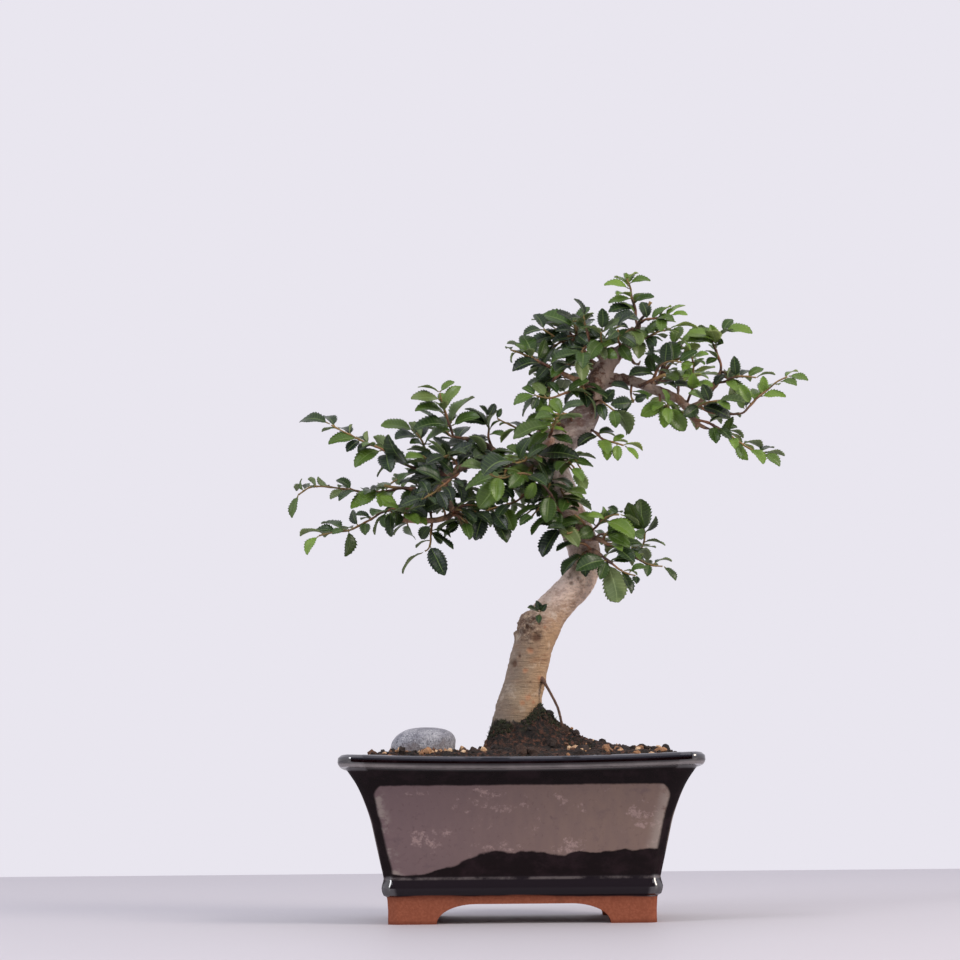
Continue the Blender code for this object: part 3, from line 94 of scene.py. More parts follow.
# Wood as rows of x, y, z and radius; each limb starts inside the wood that carries it
TRUNK = table("""
-1 0 70 9.5,-1.2 0 84 11.2,-0.2 0 92 10.4,0.9 0 99 9.6,2.6 0 105 9.3,4.4 0 113 9.1,6.6 0 121 9.1,9.4 0 128 9,
14 1 136 8.2,20.5 2 143 7.5,27 4 150 7.4,30.5 6 158 7.2,29.4 8 167 7.3,26 8 176 7.3,21.6 7 186 7.4,
17.6 5 196 7.7,15.6 3 205 8,18 1 212 7.8,23.4 0 218 7.2,29.4 -1 223.4 6.8,33.4 -1 229.6 5.6,35.6 0 236 5,
37.4 1 242 4.8,40.6 2 248 4.2,45 2 253.4 3.6,50 1 258 2.6,54.4 0 262 1.9,56 -1 266.6 1.4,57.4 -2 270.4 1.1
""")
LIMBS = named("""
aerial_root: 10.5 -6 107 0.9,14.6 -8 99.5 0.72,17.6 -9 93 0.72,19.6 -9.5 84 0.75;
left_limb: 14 3 203 3.6,4 3 205.4 2.6,-8 4 206 2.3,-17 3 205.2 2,-25 1 203 1.8,-31 0 198.4 1.6,
-36 -1 192.6 1.4,-40 -2 187 1.1;
left_limb_up: -7 4 206 2,-11 6 211.6 1.4,-18 6 215.4 1.2,-25 4 216.6 1;
cut_stub: -33 0 196 1.6,-31 -5 188 1.4,-29.6 -8 182 1.5,-35 -10 179.4 1.4,-44 -11 178.8 1.4,
-53.4 -12 179.8 1.5;
low_right_limb: 27 6 170 3,34 0 170.4 1.5,38 -3 169.4 1.2,41 -4 167.2 1;
low_right_spur: 30 4 164 2.6,34.5 -3 164.4 1.3,38.6 -6 161.8 1;
right_limb: 37 1 241 3.6,44 1 243 2.9,50 1 243.2 2.6,55 1 242 2.5,60 2 240 2.5,65 3 237.6 2.4,70 4 235.6 2.2,
74 4 234 2.1,77 4 231.5 2.1,79.2 4 228.4 2.1,80.8 4 225.2 1.4,83 4 222.4 1.1,86 4 220.6 0.9,88.6 4 219.8 0.6;
right_limb_fork: 82.6 4 222.6 1,82.2 3 220.2 0.6;
right_limb_up: 78.6 4 229.2 1.9,83.6 5 231.4 1.4,87 6 235.2 1.4,90.4 7 239.4 1.5,92.8 8 243.4 1.5,
94.2 8 247 0.9;
crown_stub: 44 2 250.4 3,40.4 -2 253 2.2,37.4 -4 256 1.7,34.6 -6 259 1.3;
crown_left_limb: 36.6 1 240 3.4,31 -1 241.2 2,26 -3 244 1.5,21 -4 246.6 1.1;
crown_back_limb: 39 3 247 3,36 12 250 1.9,33 22 254 1.3;
crown_up_limb: 38 3 246 2.6,33.6 6 251.6 1.5,29.6 6 257.4 1.2,28 5 262.6 0.9;
right_back_limb: 58 2 240.8 2,62 12 241 1.4,66 22 242 1;
left_back_limb: -14 4 205.6 1.9,-22 14 206 1.4,-30 23 205 1.1;
hooked_twig: 49 0 256.6 1.2,52.4 -3 254.2 0.9,54.4 -5 250.6 0.8,56.6 -5 249.8 0.7,57.4 -5 252 0.5
""")
# Round swellings where limbs start and where old ones were cut: x, y, z, radius
KNOBS = table("""
-0.2 -1 126.6 1.6,7.8 -1 131.6 6.9,15 0 122.8 1.6,11 -3 105.8 1.6,-6.4 -2 104 1.4,13 -5 217 4.2,9 -2 207.6 3,
31.6 -3 218.6 2,44 0 256 2.6
""")

# Leafy shoots as "name fill: twig | leaves". The twig's rows run x, y, z from inside the wood to the tip. A
# leaf's row is x, z of the base, x, z of the tip, how far the tip is behind the base, and the way the upper
# side faces: u up, f front, b back, l left, r right. "fill" more leaves follow the two-ranked rule of elm.
SHOOTS = shoot_table("""
left_upper 1: -30.6 0 198.8,-38 -2 200.4,-45 -3 202.5,-52 -4 205.2,-57 -5 209.2,-63 -6 212.6,-69 -7 215,
-75 -8 218.2,-80 -9 220.6,-85 -10 223.6 |
-85 223.4 -99 224.8 6 uf,-82 221.6 -88.8 220.3 4 u,-76 218.6 -75 223.4 4 l,-72 217 -85.8 214.6 -3 uf,
-71 216 -77.4 210.8 -4 uf,-68 214.8 -68 220.2 4 bl,-66 214 -72.4 211.2 -5 uf,-61 211.4 -73.8 203.8 -6 uf,
-59 210.4 -57.5 201.2 -10 f,-57 209 -65.2 217.6 6 ub,-53 206 -63.6 199.2 3 lu,-48 203.6 -58.6 218.6 -12 fl;
left_top 2: -31 0 198,-36 5 203,-40 7 208,-42 8 213,-44 8 217,-46 8 220 |
-46 220 -61.8 222.8 -4 uf,-44 218 -57.6 218.8 -8 uf,-43 216 -49 224 5 ub,-42 214 -30.4 220.6 -8 fu,
-41.6 212 -48.6 214.6 -8 uf,-38 205 -34 214 -10 fr;
left_upright 1: -24.4 4 216.6,-28.6 3 217.6,-30 2 221.6,-31.8 1 227,-33.6 0 232.4,-34.8 -1 238 |
-34.8 238 -45 237.6 -2 u,-34.8 238 -28 242.8 2 uf,-34 234.8 -48 235.2 -4 uf,-32.6 230 -25 240.6 -4 fu,
-32 228 -46.2 229.6 -6 uf,-31.6 227 -43.8 232.8 7 u,-30 222 -16.6 226.4 -4 uf,-30 223 -19 235.4 8 u,
-30 221.4 -47 220.8 -5 uf;
left_middle 3: -37.4 -1 190.6,-44 1 192,-52 2 193.9,-60 3 192.3,-70 4 192.2,-75 4 193.2,-80 4 193.9,
-88 4 194.9,-94 4 194.6,-99.5 4 191.2 |
-99.5 191.2 -102.4 180.6 -1 lf,-97 193 -98 198.6 2 lu,-91 194.8 -95 198.6 5 ub,-86 194.6 -90.6 199.4 3 bl,
-79 193.6 -85 189.2 -3 uf,-75 193.4 -82.2 197.9 3 fu,-61 192.4 -75.6 184.8 -6 fu,-58 192.6 -62 185.4 -9 fu,
-53 193.6 -46 199 6 u,-48 192.8 -50.6 183.4 -6 f;
left_low 2: -38.6 -2 188.8,-42 -6 186.4,-48 -10 184.2,-56 -13 184.2,-62 -15 182.5,-67 -16 179.4,-72 -17 176.8,
-77 -17 174.6,-83 -18 174,-90 -18 172.4 |
-90 172.4 -95.6 163.8 -2 fl,-82 174.2 -91.8 174.8 4 uf,-87 173.4 -98.6 172.4 8 u,-78 174.4 -84 173.2 -4 uf,
-76.6 174.4 -78.2 162.8 2 rf,-72.6 177 -74.8 184 4 lf,-66 180 -73.6 182 -3 uf,-69 178.4 -69 172.6 -6 f,
-60 183.2 -60.2 176 -4 fl,-59 183.4 -64.8 172.6 4 lu,-57 184 -57.2 171.6 2 fl,-56 184 -53.2 175.8 -5 fr,
-54 184.2 -62 190.4 4 fu,-50 184 -41 180.4 -8 fu;
left_hanging 1: -39.4 -2 187.8,-39 -6 182,-39 -8 176,-39.2 -9 170.4,-40.6 -9 166,-42.6 -9 164.6 |
-42.6 164.6 -52.2 154.8 3 lu,-40 168 -33 153.8 -3 f,-39 181 -38.6 169.6 -9 f,-39.4 180 -50.2 171.8 -6 fu,
-39 177 -43.8 170.6 6 f,-39 174 -34 168.6 5 fr;
left_front 1: -26 1 202.6,-27 -7 200,-31 -14 197,-36 -21 193,-42 -27 189 |
-42 189 -53.8 185 -3 fu,-40 190.6 -44 197.6 3 fu,-36 193 -32 184 -5 f,-33 195.6 -46 202.4 -6 fu,
-30 197.6 -25 187 -8 fr,-28 199.6 -37 208 -2 fu,-27 201 -20.4 209.6 -8 fu;
left_inner 1: -33 -1 195.8,-30 3 190,-29 6 184,-28 7 180 |
-28 180 -31.6 172.8 -4 f,-29 184 -24 174.6 2 fr,-29.4 187 -38 182.4 3 fu,-30 190 -22.6 189 4 uf;
left_deep 5: -30.2 24 205,-36 30 204,-44 35 202,-52 38 199,-59 40 195 |;
left_deep_low 5: -26 19 205.4,-30 24 200,-35 28 194,-42 31 188,-49 33 183 |;
left_deep_up 5: -22.6 15 206,-25 21 212,-30 26 218,-36 29 223 |;
middle_upright 1: -10.6 6 211,-12.4 8 216,-12.6 9 221,-13 9 226 |
-13 226 -16.6 231.6 -4 fu,-13 226 -9.6 232.4 3 fu,-12.6 222 -24.4 224.6 -4 uf,-12.6 221 -20.6 227.6 8 u,
-12.6 218 -4.6 217.4 -5 uf,-12 215.4 -22 210.4 -7 fu,-12.4 219 -8.6 229.4 4 l;
middle_low 1: 13.4 2 196,6 -4 192.4,0 -7 187.6,-5 -8 185.8,-10 -9 184.6,-15 -9 182.6 |
-15 182.6 -19 169.6 -3 f,-14 183 -4.8 168.4 -3 fr,-11 184.4 -8 173 -7 f,-6 185.8 -1.6 174 -5 f,
-4 186 4.6 182.6 4 u,2 189.2 6.6 199.4 3 fu,-12 184.2 -20.4 190.6 5 fu,-1 187.4 -6.4 193.6 4 fu;
front_low 0: 21.6 0 178,19 -8 183,16 -13 189,12.4 -17 194.6,6.4 -22 199.4,0 -27 200,-6.6 -32 198,
-12.6 -37 200.2 |
-12.6 200.2 -25.4 203.6 -7 fu,-8 198.4 -9 187.4 -6 f,-7 198 -17.4 184.4 2 f,-5 198.4 -23.4 189 5 uf,
2 200 -3.6 193.6 -8 f,5 199.6 13.6 194.6 -8 fu,9 197.6 4.4 188.4 4 f,15 190.6 13.4 177.4 -4 f,
17 187 9 180.4 4 fl;
front_middle 0: 11 -1 207.6,7.4 -9 208,5 -17 207,2.6 -25 205.6,-0.6 -33 205 |
-0.6 205 -20 202.8 -12 fu,4 206.4 14 212.8 -3 fu,5.4 207 -4.4 212.6 3 uf,7 208 14.4 195.4 -6 fr,
7.4 208 28.6 207 -6 fu,1.4 205.4 6.4 216.6 -8 fl;
front_upper 0: 15 -3 214,15.4 -9 217,16.4 -17 220.4,17.6 -25 223.6,19 -33 225.8 |
19 225.8 31 232 -10 uf,18.6 225 8.6 225.4 -4 uf,17 222 -1.4 216 -3 uf,16 219.6 8.2 209.6 -6 fl,
15.6 218 25.6 213.6 -6 fr,18 224 30.4 226 4 u,17 222.4 9.4 221.4 6 uf,16.6 221 23.8 217.4 5 fu;
bare_left 0: 10.6 1 214.6,5 -4 218.6,-1 -8 221.6,-8.6 -12 225.6 |
-8.6 225.6 -6.6 230.2 -2 f,0.6 220.8 -7 214.4 5 u;
right_of_trunk 0: 31 -1 222,36.4 -6 218.6,38.6 -8 216.2,41 -9 215,45 -10 213.8,49.6 -11 212.4 |
49.6 212.4 55.4 206.4 -3 fr,48.4 212.8 57.6 210.2 5 u,46 213.4 46.2 205.6 -3 f,43.6 214.2 49.2 217.4 3 fu,
41.4 214.8 41.4 205.8 -4 f,37.6 217.4 28 212.4 -5 fu,36.8 218.4 44.6 219.2 4 fu;
low_right_front 0: 37.6 -5 162.6,41.6 -9 159.4,46 -13 156,50 -15 153.8,54 -16 152.8 |
54 152.8 53.8 149.4 -6 f,50 153.8 58.4 156.6 -3 fu,46.6 155.8 51.4 144.8 -4 fr,40.4 160.4 45 140.8 -9 b,
42 159 53.4 159.6 4 fu,40.6 160.4 37.4 151.4 -4 f,41.2 160 26.4 155.6 -6 fl;
low_right 1: 40.6 -4 167.6,46 -6 166.4,51 -6 163.6,55 -6 160.4,60 -6 157.8,66.4 -7 157 |
66.4 157 71.6 150.6 -3 fr,61.4 157.6 70 159.4 5 u,59.6 158 58.8 152.6 -4 f,53 162 59 165 6 u,
45 166.6 52.2 156.6 -4 fu,46 166.4 54.6 169.6 5 fu,42 167.4 47.6 164.2 -8 fu,42 167.6 52.6 171.4 7 fu;
low_right_upper 1: 35.4 0 170.2,38 4 172,42 7 171.2,48 8 166.4,54 8 163.6,56.8 7 166.4,58.2 6 172.6 |
58.2 172.6 50.6 186.4 -2 fl,58.2 172.6 63.2 180 -5 fr,57.6 170.6 53 172.4 -7 f,57 168.2 67.2 166.6 -3 u,
57.8 172 56.4 188 6 uf,55 164.2 50.6 160.4 7 uf;
low_right_top 1: 30.6 5 171,35 -4 174.6,38.6 -7 178.4,43 -9 180.6,47 -10 181 |
47 181 55.4 176 3 u,46 181 41.6 184.4 4 uf,40 179.4 32 180.4 -4 uf,39 178.6 53.2 169.8 -6 fu,
35.4 175 28 181.2 4 fu,36 176 39.4 184.6 5 ur,34.6 174 27 170.6 -6 f;
low_left_of_trunk 0: 25.4 6 174,21 -3 174.6,19.4 -6 176 |
20 175.4 11.4 161.8 -2 fl,19.6 176 27.8 166.4 -7 fu,19.4 176 8.4 177.4 -3 fu;
low_right_deep 5: 29.6 9 166,35 18 168,41 24 169,48 29 168,55 33 165 |;
crown_left_low 1: 22.2 -4 245.8,18 -5 248.2,14 -6 250,9 -7 252.6,3 -8 255.4,-2 -9 257.4 |
-2 257.4 -4.2 258.2 5 u,0 256.6 -1.6 251.4 -3 l,12 251 -1.4 247.4 -4 fu,6 254 0 258.6 -5 uf,
8 253.2 3.4 264.2 6 fu,10 252.2 14 262 3 fr,9 252.6 -3.6 260.4 10 u,15 249.8 9.6 243.8 -4 f,
15 249.8 26 254 -5 fu;
crown_left_middle 0: 29 -1 242,26 -8 238.6,21 -12 236.4,15 -14 234.8,9 -14 236 |
9 236 -1 231.8 -3 fu,9.4 236 3 239.8 3 fu,10 235.8 7.4 229.8 -4 f,11 235.6 3 226.4 6 l,14 235 8 241.8 5 fu,
17 235.2 20.4 227.6 -4 f,20 236.2 14.6 242.2 4 uf,23 237.4 33.6 242.8 -3 uf,24 237.6 34.6 236 -4 u;
crown_left_upper 1: 29 6 259,28.4 3 263.6,27.6 1 267,27.4 0 270 |
27.4 270 34.4 277 2 fu,27.4 270 19 275 -2 uf,27.8 268.4 36 273 4 uf,28 266 34.8 266 -5 uf,
28 264.6 34 259.6 -7 f,27.8 266.6 12 273.6 5 uf,28 264.6 18.6 266 -6 uf,28.6 262.4 17 261 -5 uf;
crown_left_outer 1: 30.4 6 256,24 3 259.4,18.6 1 263,13 0 266.6 |
13 266.6 3.8 264.2 -6 fu,13.6 266 12 274.4 5 fu,17 264.2 18.6 275.6 7 u,18 263.4 9.6 258.6 -7 fu,
22 260.8 27.8 256 -5 f;
crown_middle 1: 42.6 2 251,40.4 -5 255.6,39.6 -9 261,39.8 -11 266 |
39.8 266 40.2 276.4 -3 f,39.8 265 49.4 269.2 -5 uf,39.6 262 35.4 268.6 3 fl,39.6 260.6 33.4 252.6 -6 f,
39.6 260 48 264.2 -6 fu,40 257.4 46.6 253 -6 f,40.4 256 32 258 5 u;
apex 1: 56.2 -1 267.4,55.6 2 272,55 3 277,54 3 281.6,53 2 286,51.8 1 290 |
51.8 290 51.4 293 -1 f,52 289.6 57 292.8 2 u,52.6 287.6 62.6 289.2 -2 fu,53 285.4 41.2 287.4 -3 uf,
52.8 286.4 46 291 5 u,54.6 279.6 64.2 281.6 -2 uf,54.2 281 43 279 -2 uf,55 276 43 274.6 -3 uf,
55.2 275 49.6 278.2 6 u;
crown_right_upper 0: 57 -2 269,60 -7 271,64 -9 271.4,68 -10 272.2,71.6 -10 272.8 |
71.6 272.8 79.4 273 -2 uf,66 272 72 277 4 u,61.4 271.4 69.4 275 -4 fu,60 271 58.4 279.2 3 f,
64 271.6 73.2 270.2 -5 fu,58.6 270 45.4 271.6 -6 uf,66.6 272 67 265.2 -5 f;
crown_right 1: 53 1 260.8,57.4 -5 261.6,61 -8 263,65.6 -9 265,70 -9 266.2 |
70 266.2 84 266.8 3 u,57.6 261.6 68.6 269 -5 fu,60 262.6 64.6 258.6 -5 f,57 261.6 56.6 252.8 -6 f,
58.6 262 63 254.6 3 fr,57 261.4 45.6 263.4 -5 fu;
crown_front 0: 48.4 1 256.6,48 -6 259,47.4 -12 263,46.8 -15 267 |
46.8 267 54 274.6 -3 fu,47 265.6 41.6 260.4 -6 f,47.4 263.6 55.4 258.4 -5 f,48 260 40.4 256.4 -4 fu,
48 259.4 53 251.6 -5 f;
crown_deep 5: 33.6 20 253.6,32 28 257,30 34 262,28 38 267 |;
crown_deep_left 5: 35.4 13 250.6,28 22 250,20 28 251,12 32 253 |;
crown_deep_right 5: 51 2 258.8,56 12 262,61 20 266,65 26 269 |;
right_inner 1: 61.6 2 239.6,63.6 -3 245,66.6 -6 249.4,71 -8 251.6,76 -9 250.8 |
76 250.8 79.6 249.2 -3 uf,68 250.4 69.6 260.2 -2 f,63.8 245.6 60.6 254.4 3 fl,72 251.6 71.4 260.6 6 u,
65 247.4 70.6 245.8 3 u,63.6 245 50.6 247.4 -4 uf,74 251.4 80 257 5 uf;
right_upright 0: 78 4 231.4,80.4 -2 237,81.4 -4 243,81.4 -5 249,80.8 -6 254 |
80.8 254 72.4 260.4 3 u,81 253 88.6 254.6 -3 uf,81.2 251 76.6 246.8 -5 fu,81.2 250.6 86.8 249.8 -5 fr,
81.4 244 78.6 241.6 -4 uf,80.6 238 72 240.4 -4 uf,81 240.6 90.4 239.6 -6 fu,80.6 237.6 83 245.6 -7 f;
right_top 1: 94 8 246.2,94 7 250,92.6 7 255,90.4 6 259.6,91.4 6 263,95 6 265 |
95 265 109 264.2 -3 uf,94.6 264.8 99.8 270.8 3 fu,93 253 87.6 250 -4 fu,90.6 259.4 79 260.4 -5 fu,
91 262.4 78.6 263.6 -4 uf,90.6 261 87.4 266.8 -3 f,90.8 260.6 95.4 259.6 -6 f,91 262 84 267.4 7 u;
right_middle 1: 91.6 7 241.2,96 3 241.8,98.6 2 243.2,104 1 244.2,110 0 243.4 |
110 243.4 119 244.8 2 u,101 243.8 100.2 253.6 -4 f,96.4 241.8 101.4 237.4 -4 fu,97 242.2 98.8 248 4 l,
106 244 111.6 249 4 uf;
right_tip 1: 83 5 231.2,88 -1 228,95 -3 226.8,103 -4 226.9,106.4 -4 229.8,111 -5 234.4,115.6 -5 238,
120 -6 241.6,125 -6 244 |
125 244 134 242 -3 uf,121 242.2 128.6 239.6 -6 uf,123 243.2 129.4 246.2 5 u,113.4 236.4 113.4 244.2 -2 f,
111.6 234.8 123.6 234.6 -4 fu,107.6 231 102.4 240.6 -3 f,104.6 228.4 101.2 233 -3 f,90 227.6 97.6 230.2 6 u;
right_near 0: 79.4 4 228,82 -4 229.4,85 -9 231,88.6 -12 232.4,92 -14 233 |
92 233 105 232.2 -2 uf,91 232.8 97.8 228.6 -5 fu,84 230.4 98 224.8 -3 fu,84 230.4 76.6 225.8 -5 f,
87 231.8 79 236.4 -5 fu,88 232.2 85.4 240.6 -4 f;
right_low 2: 81.4 4 224.4,87 -1 223,92 -4 220.4,98 -6 216.4,104 -7 212,109 -7 209.4,112.6 -8 208.4 |
112.6 208.4 120 202.4 -3 fu,112 208.6 122.4 207.2 5 u,101.4 214 105.6 205.4 -3 fl,103 213 112 210.4 8 u,
92 220.4 98 215 -6 fu,90 221.6 91.2 213.2 -5 f,93 220 101 220.8 5 fu,97 217.4 100.6 224 4 u;
right_under 0: 65.6 3 237,66 -2 232.6,66.6 -5 230.4,69.4 -8 230.6 |
66.2 231 57 226.2 -3 f,66.4 230.6 64 221.4 -4 f,69.4 230.6 70 222.4 -5 f,69 230.6 67.2 238.4 -5 fu,
69.4 230.6 77 219 2 f;
crown_under 0: 53 1 241.6,53 -3 238,52.6 -6 235,54 -8 232.6 |
54 232.6 43.4 231.6 -3 f,53 237 57.8 232.6 4 u,53 237.6 43.8 240.8 -5 uf,53 233.4 60 235.6 -4 f;
trunk_front 0: 35.4 -1 233,38.6 -8 233.4,41 -11 231.6,44 -12 229.4 |
44 229.4 50.6 217.4 2 r,43.4 229.8 54.2 218.2 7 u,44 229.4 45.6 220.8 -3 f,38.4 233.4 40.6 224.4 -5 f,
39 233.2 46.6 236.4 -4 f;
right_deep 5: 66.2 22.5 242,72 28 243,79 33 244,86 37 245 |;
right_deep_low 5: 63 14 241.2,66 22 236,71 29 231,77 34 227 |;
right_deep_up 5: 64.6 18 241.6,67 22 248,70 25 254,73 27 260 |
""")


# Places, curves and noise
def seen(rows):
    """Metres in the frame of front-view rows x, y, z in millimetres: each slides away from EYE to depth y."""
    rows = np.atleast_2d(np.asarray(rows, dtype=float))[:, :3]
    reach = (rows[:, 1] - EYE[1]) / -EYE[1]
    x = EYE[0] + (rows[:, 0] - EYE[0]) * reach
    z = EYE[2] + (rows[:, 2] - EYE[2]) * reach
    return np.stack([x, rows[:, 1], z], axis=1) * MM + ORIGIN


def shown(places):
    """Front-view x and z in millimetres of places in metres."""
    at = (places - ORIGIN) / MM
    reach = (-EYE[1]) / (at[:, 1] - EYE[1])
    return EYE[0] + (at[:, 0] - EYE[0]) * reach, EYE[2] + (at[:, 2] - EYE[2]) * reach


def smooth(points, step):
    """Rows about one step apart on the Catmull-Rom curve through rows of numbers, ends kept."""
    rows = np.array(points, dtype=float)
    ends = np.vstack([2 * rows[0] - rows[1], rows, 2 * rows[-1] - rows[-2]])
    out = []
    for i in range(1, len(ends) - 2):
        a, b, c, d = ends[i - 1:i + 3]
        pieces = max(1, round(np.linalg.norm((c - b)[:3]) / step))
        for t in np.arange(pieces) / pieces:
            out.append(0.5 * (2 * b + (c - a) * t + (2 * a - 5 * b + 4 * c - d) * t**2
                              + (3 * b - a - 3 * c + d) * t**3))
    out.append(rows[-1])
    return np.array(out)


def unit(vectors):
    return vectors / np.maximum(np.linalg.norm(vectors, axis=-1, keepdims=True), 1e-12)


def ease(share):
    """The S-shaped step 3t^2 - 2t^3."""
    return share * share * (3 - 2 * share)


def lattice_hash(places, seed):
    """A number from 0 to 1 for each whole-numbered place, from products of large odd numbers."""
    mixed = (places @ np.array([374761393, 668265263, 2147483647]) + seed * 1274126177) & 0xFFFFFFFF
    mixed = ((mixed ^ (mixed >> 13)) * 1274126177) & 0xFFFFFFFF
    return ((mixed ^ (mixed >> 16)) & 0xFFFF) / 65535.0


def noise(places, seed=0, octaves=1):
    """Smooth noise from -1 to 1: hashed corners of a unit lattice blended by ease(), halved each octave."""
    total = np.zeros(places.shape[:-1])
    size = 1.0
    reach = 0.0
    for octave in range(octaves):
        scaled = places * 2.0**octave + 17.3 * octave
        low = np.floor(scaled).astype(np.int64)
        part = ease(scaled - low)
        value = 0.0
        for corner in range(8):
            step = np.array([corner & 1, corner >> 1 & 1, corner >> 2 & 1])
            share = np.prod(np.where(step == 1, part, 1 - part), axis=-1)
            value = value + share * lattice_hash(low + step, seed + octave)
        total += (2 * value - 1) * size
        reach += size
        size *= 0.5
    return total / reach


# Meshes
def closed_grid(rows, columns):
    """Faces over rings of points, ring by ring, and fans at both ends to the two points after the rings."""
    i, j = np.meshgrid(np.arange(rows - 1), np.arange(columns), indexing="ij")
    k = (j + 1) % columns
    row, after = i * columns, (i + 1) * columns
    quads = np.stack([row + j, row + k, after + k, after + j], axis=-1)
    faces = quads.reshape(-1, 4).tolist()
    last = (rows - 1) * columns
    for j in range(columns):
        k = (j + 1) % columns
        faces += [[rows * columns, k, j], [rows * columns + 1, last + j, last + k]]
    return faces


def tube(places, radii, sides):
    """Points and faces of a tube: a circle of the row's radius across each place, closed at both ends."""
    side, upper = sides_along(places)
    turn = np.arange(sides) * 2 * math.pi / sides
    ring = np.cos(turn)[None, :, None] * side[:, None] + np.sin(turn)[None, :, None] * upper[:, None]
    points = places[:, None] + ring * np.asarray(radii)[:, None, None]
    return np.vstack([points.reshape(-1, 3), places[:1], places[-1:]]), closed_grid(len(places), sides)


def sides_along(places):
    """Side and upper vector of each place of a path; the side is carried along so that it never flips."""
    way = unit(np.gradient(places, axis=0))
    side = np.zeros_like(way)
    first = np.cross(way[0], (0.0, 0.0, 1.0))
    if np.linalg.norm(first) < 0.05:
        first = np.cross(way[0], (1.0, 0.0, 0.0))
    side[0] = unit(first)
    for i in range(1, len(way)):
        side[i] = unit(side[i - 1] - way[i] * np.dot(side[i - 1], way[i]))
    return side, np.cross(way, side)


def gather(parts):
    """Several (points, faces) as one."""
    points = []
    faces = []
    first = 0
    for some, joined in parts:
        points.append(some)
        faces += [[index + first for index in face] for face in joined]
        first += len(some)
    return np.vstack(points), faces


def ball(level):
    """Points and faces of a round ball of even triangles."""
    work = bmesh.new()
    bmesh.ops.create_icosphere(work, subdivisions=level, radius=1.0)
    points = np.array([v.co[:] for v in work.verts])
    faces = np.array([[v.index for v in f.verts] for f in work.faces])
    work.free()
    return points, faces


def copies(faces, count, size):
    """Faces of so many like parts that follow one another, each of so many points."""
    return (faces[None] + (np.arange(count) * size)[:, None, None]).reshape(-1, faces.shape[1])


def link(name, data):
    """A new object in the scene around a mesh, a light or a camera."""
    made = bpy.data.objects.new(name, data)
    bpy.context.scene.collection.objects.link(made)
    return made


def bare_mesh(name, points, faces):
    mesh = bpy.data.meshes.new(name)
    mesh.from_pydata([tuple(p) for p in points], [], [tuple(f) for f in faces])
    return mesh


def set_numbers(mesh, values):
    """Give each point of a mesh its numbers, by name, for the finishes to read."""
    for label, numbers in values.items():
        layer = mesh.attributes.new(label, "FLOAT", "POINT")
        layer.data.foreach_set("value", np.asarray(numbers, dtype=np.float32))


def shade_smooth(mesh, on=True):
    mesh.polygons.foreach_set("use_smooth", np.full(len(mesh.polygons), on))


def put_mesh(name, points, faces, finishes, slot, values=None, kind=None, uv=None, shade=True):
    """One finished piece that rides on the root, with the numbers of its points, the finish of each face and
    the UV of each corner where they are given."""
    mesh = bare_mesh(name, points, faces)
    if kind is not None:
        mesh.polygons.foreach_set("material_index", np.asarray(kind, dtype=np.int32))
    if uv is not None:
        layer = mesh.uv_layers.new(name="Surface")
        layer.data.foreach_set("uv", np.asarray(uv, dtype=np.float32).ravel())
    set_numbers(mesh, values or {})
    shade_smooth(mesh, shade)
    mesh.update()
    for finish in finishes:
        mesh.materials.append(finish)
    piece = link(name, mesh)
    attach(piece, "root")
    return piece


def apply_modifiers(piece):
    """Keep the evaluated mesh and drop the modifiers."""
    view = bpy.context.evaluated_depsgraph_get()
    view.update()
    finished = bpy.data.meshes.new_from_object(piece.evaluated_get(view))
    piece.modifiers.clear()
    old = piece.data
    piece.data = finished
    bpy.data.meshes.remove(old)


# Shader sums
def linear(red, green, blue):
    """Scene-linear colour of a display colour given in 0 to 255."""
    return tuple(v / 255 / 12.92 if v <= 10.3 else ((v / 255 + 0.055) / 1.055) ** 2.4
                 for v in (red, green, blue))


def tone_of(colour):
    """A socket as it is, and a colour made scene-linear where it is a display colour in whole numbers."""
    if isinstance(colour, Socket):
        return colour
    return linear(*colour) if isinstance(colour[0], int) else tuple(colour)


class Socket:
    """An output of a shader node, with arithmetic on it written as Python."""

    def __init__(self, net, link):
        self.net = net
        self.link = link

    def math(self, operation, *others):
        return self.net.sum(operation, self, *others)

    def __add__(self, other):
        return self.math("ADD", other)

    def __sub__(self, other):
        return self.math("SUBTRACT", other)

    def __mul__(self, other):
        return self.math("MULTIPLY", other)

    def __rsub__(self, other):
        return self.net.sum("SUBTRACT", other, self)

    __radd__ = __add__
    __rmul__ = __mul__

    def size(self):
        return self.math("ABSOLUTE")

    def most(self, other):
        return self.math("MAXIMUM", other)

    def clip(self):
        return self.net.node("Clamp", {}, {0: self})

    def step(self, low, high):
        """0 under low and 1 over high, with an S between; the two may be given falling."""
        return self.net.node("MapRange", {"interpolation_type": "SMOOTHSTEP"},
                             {"Value": self, "From Min": low, "From Max": high})


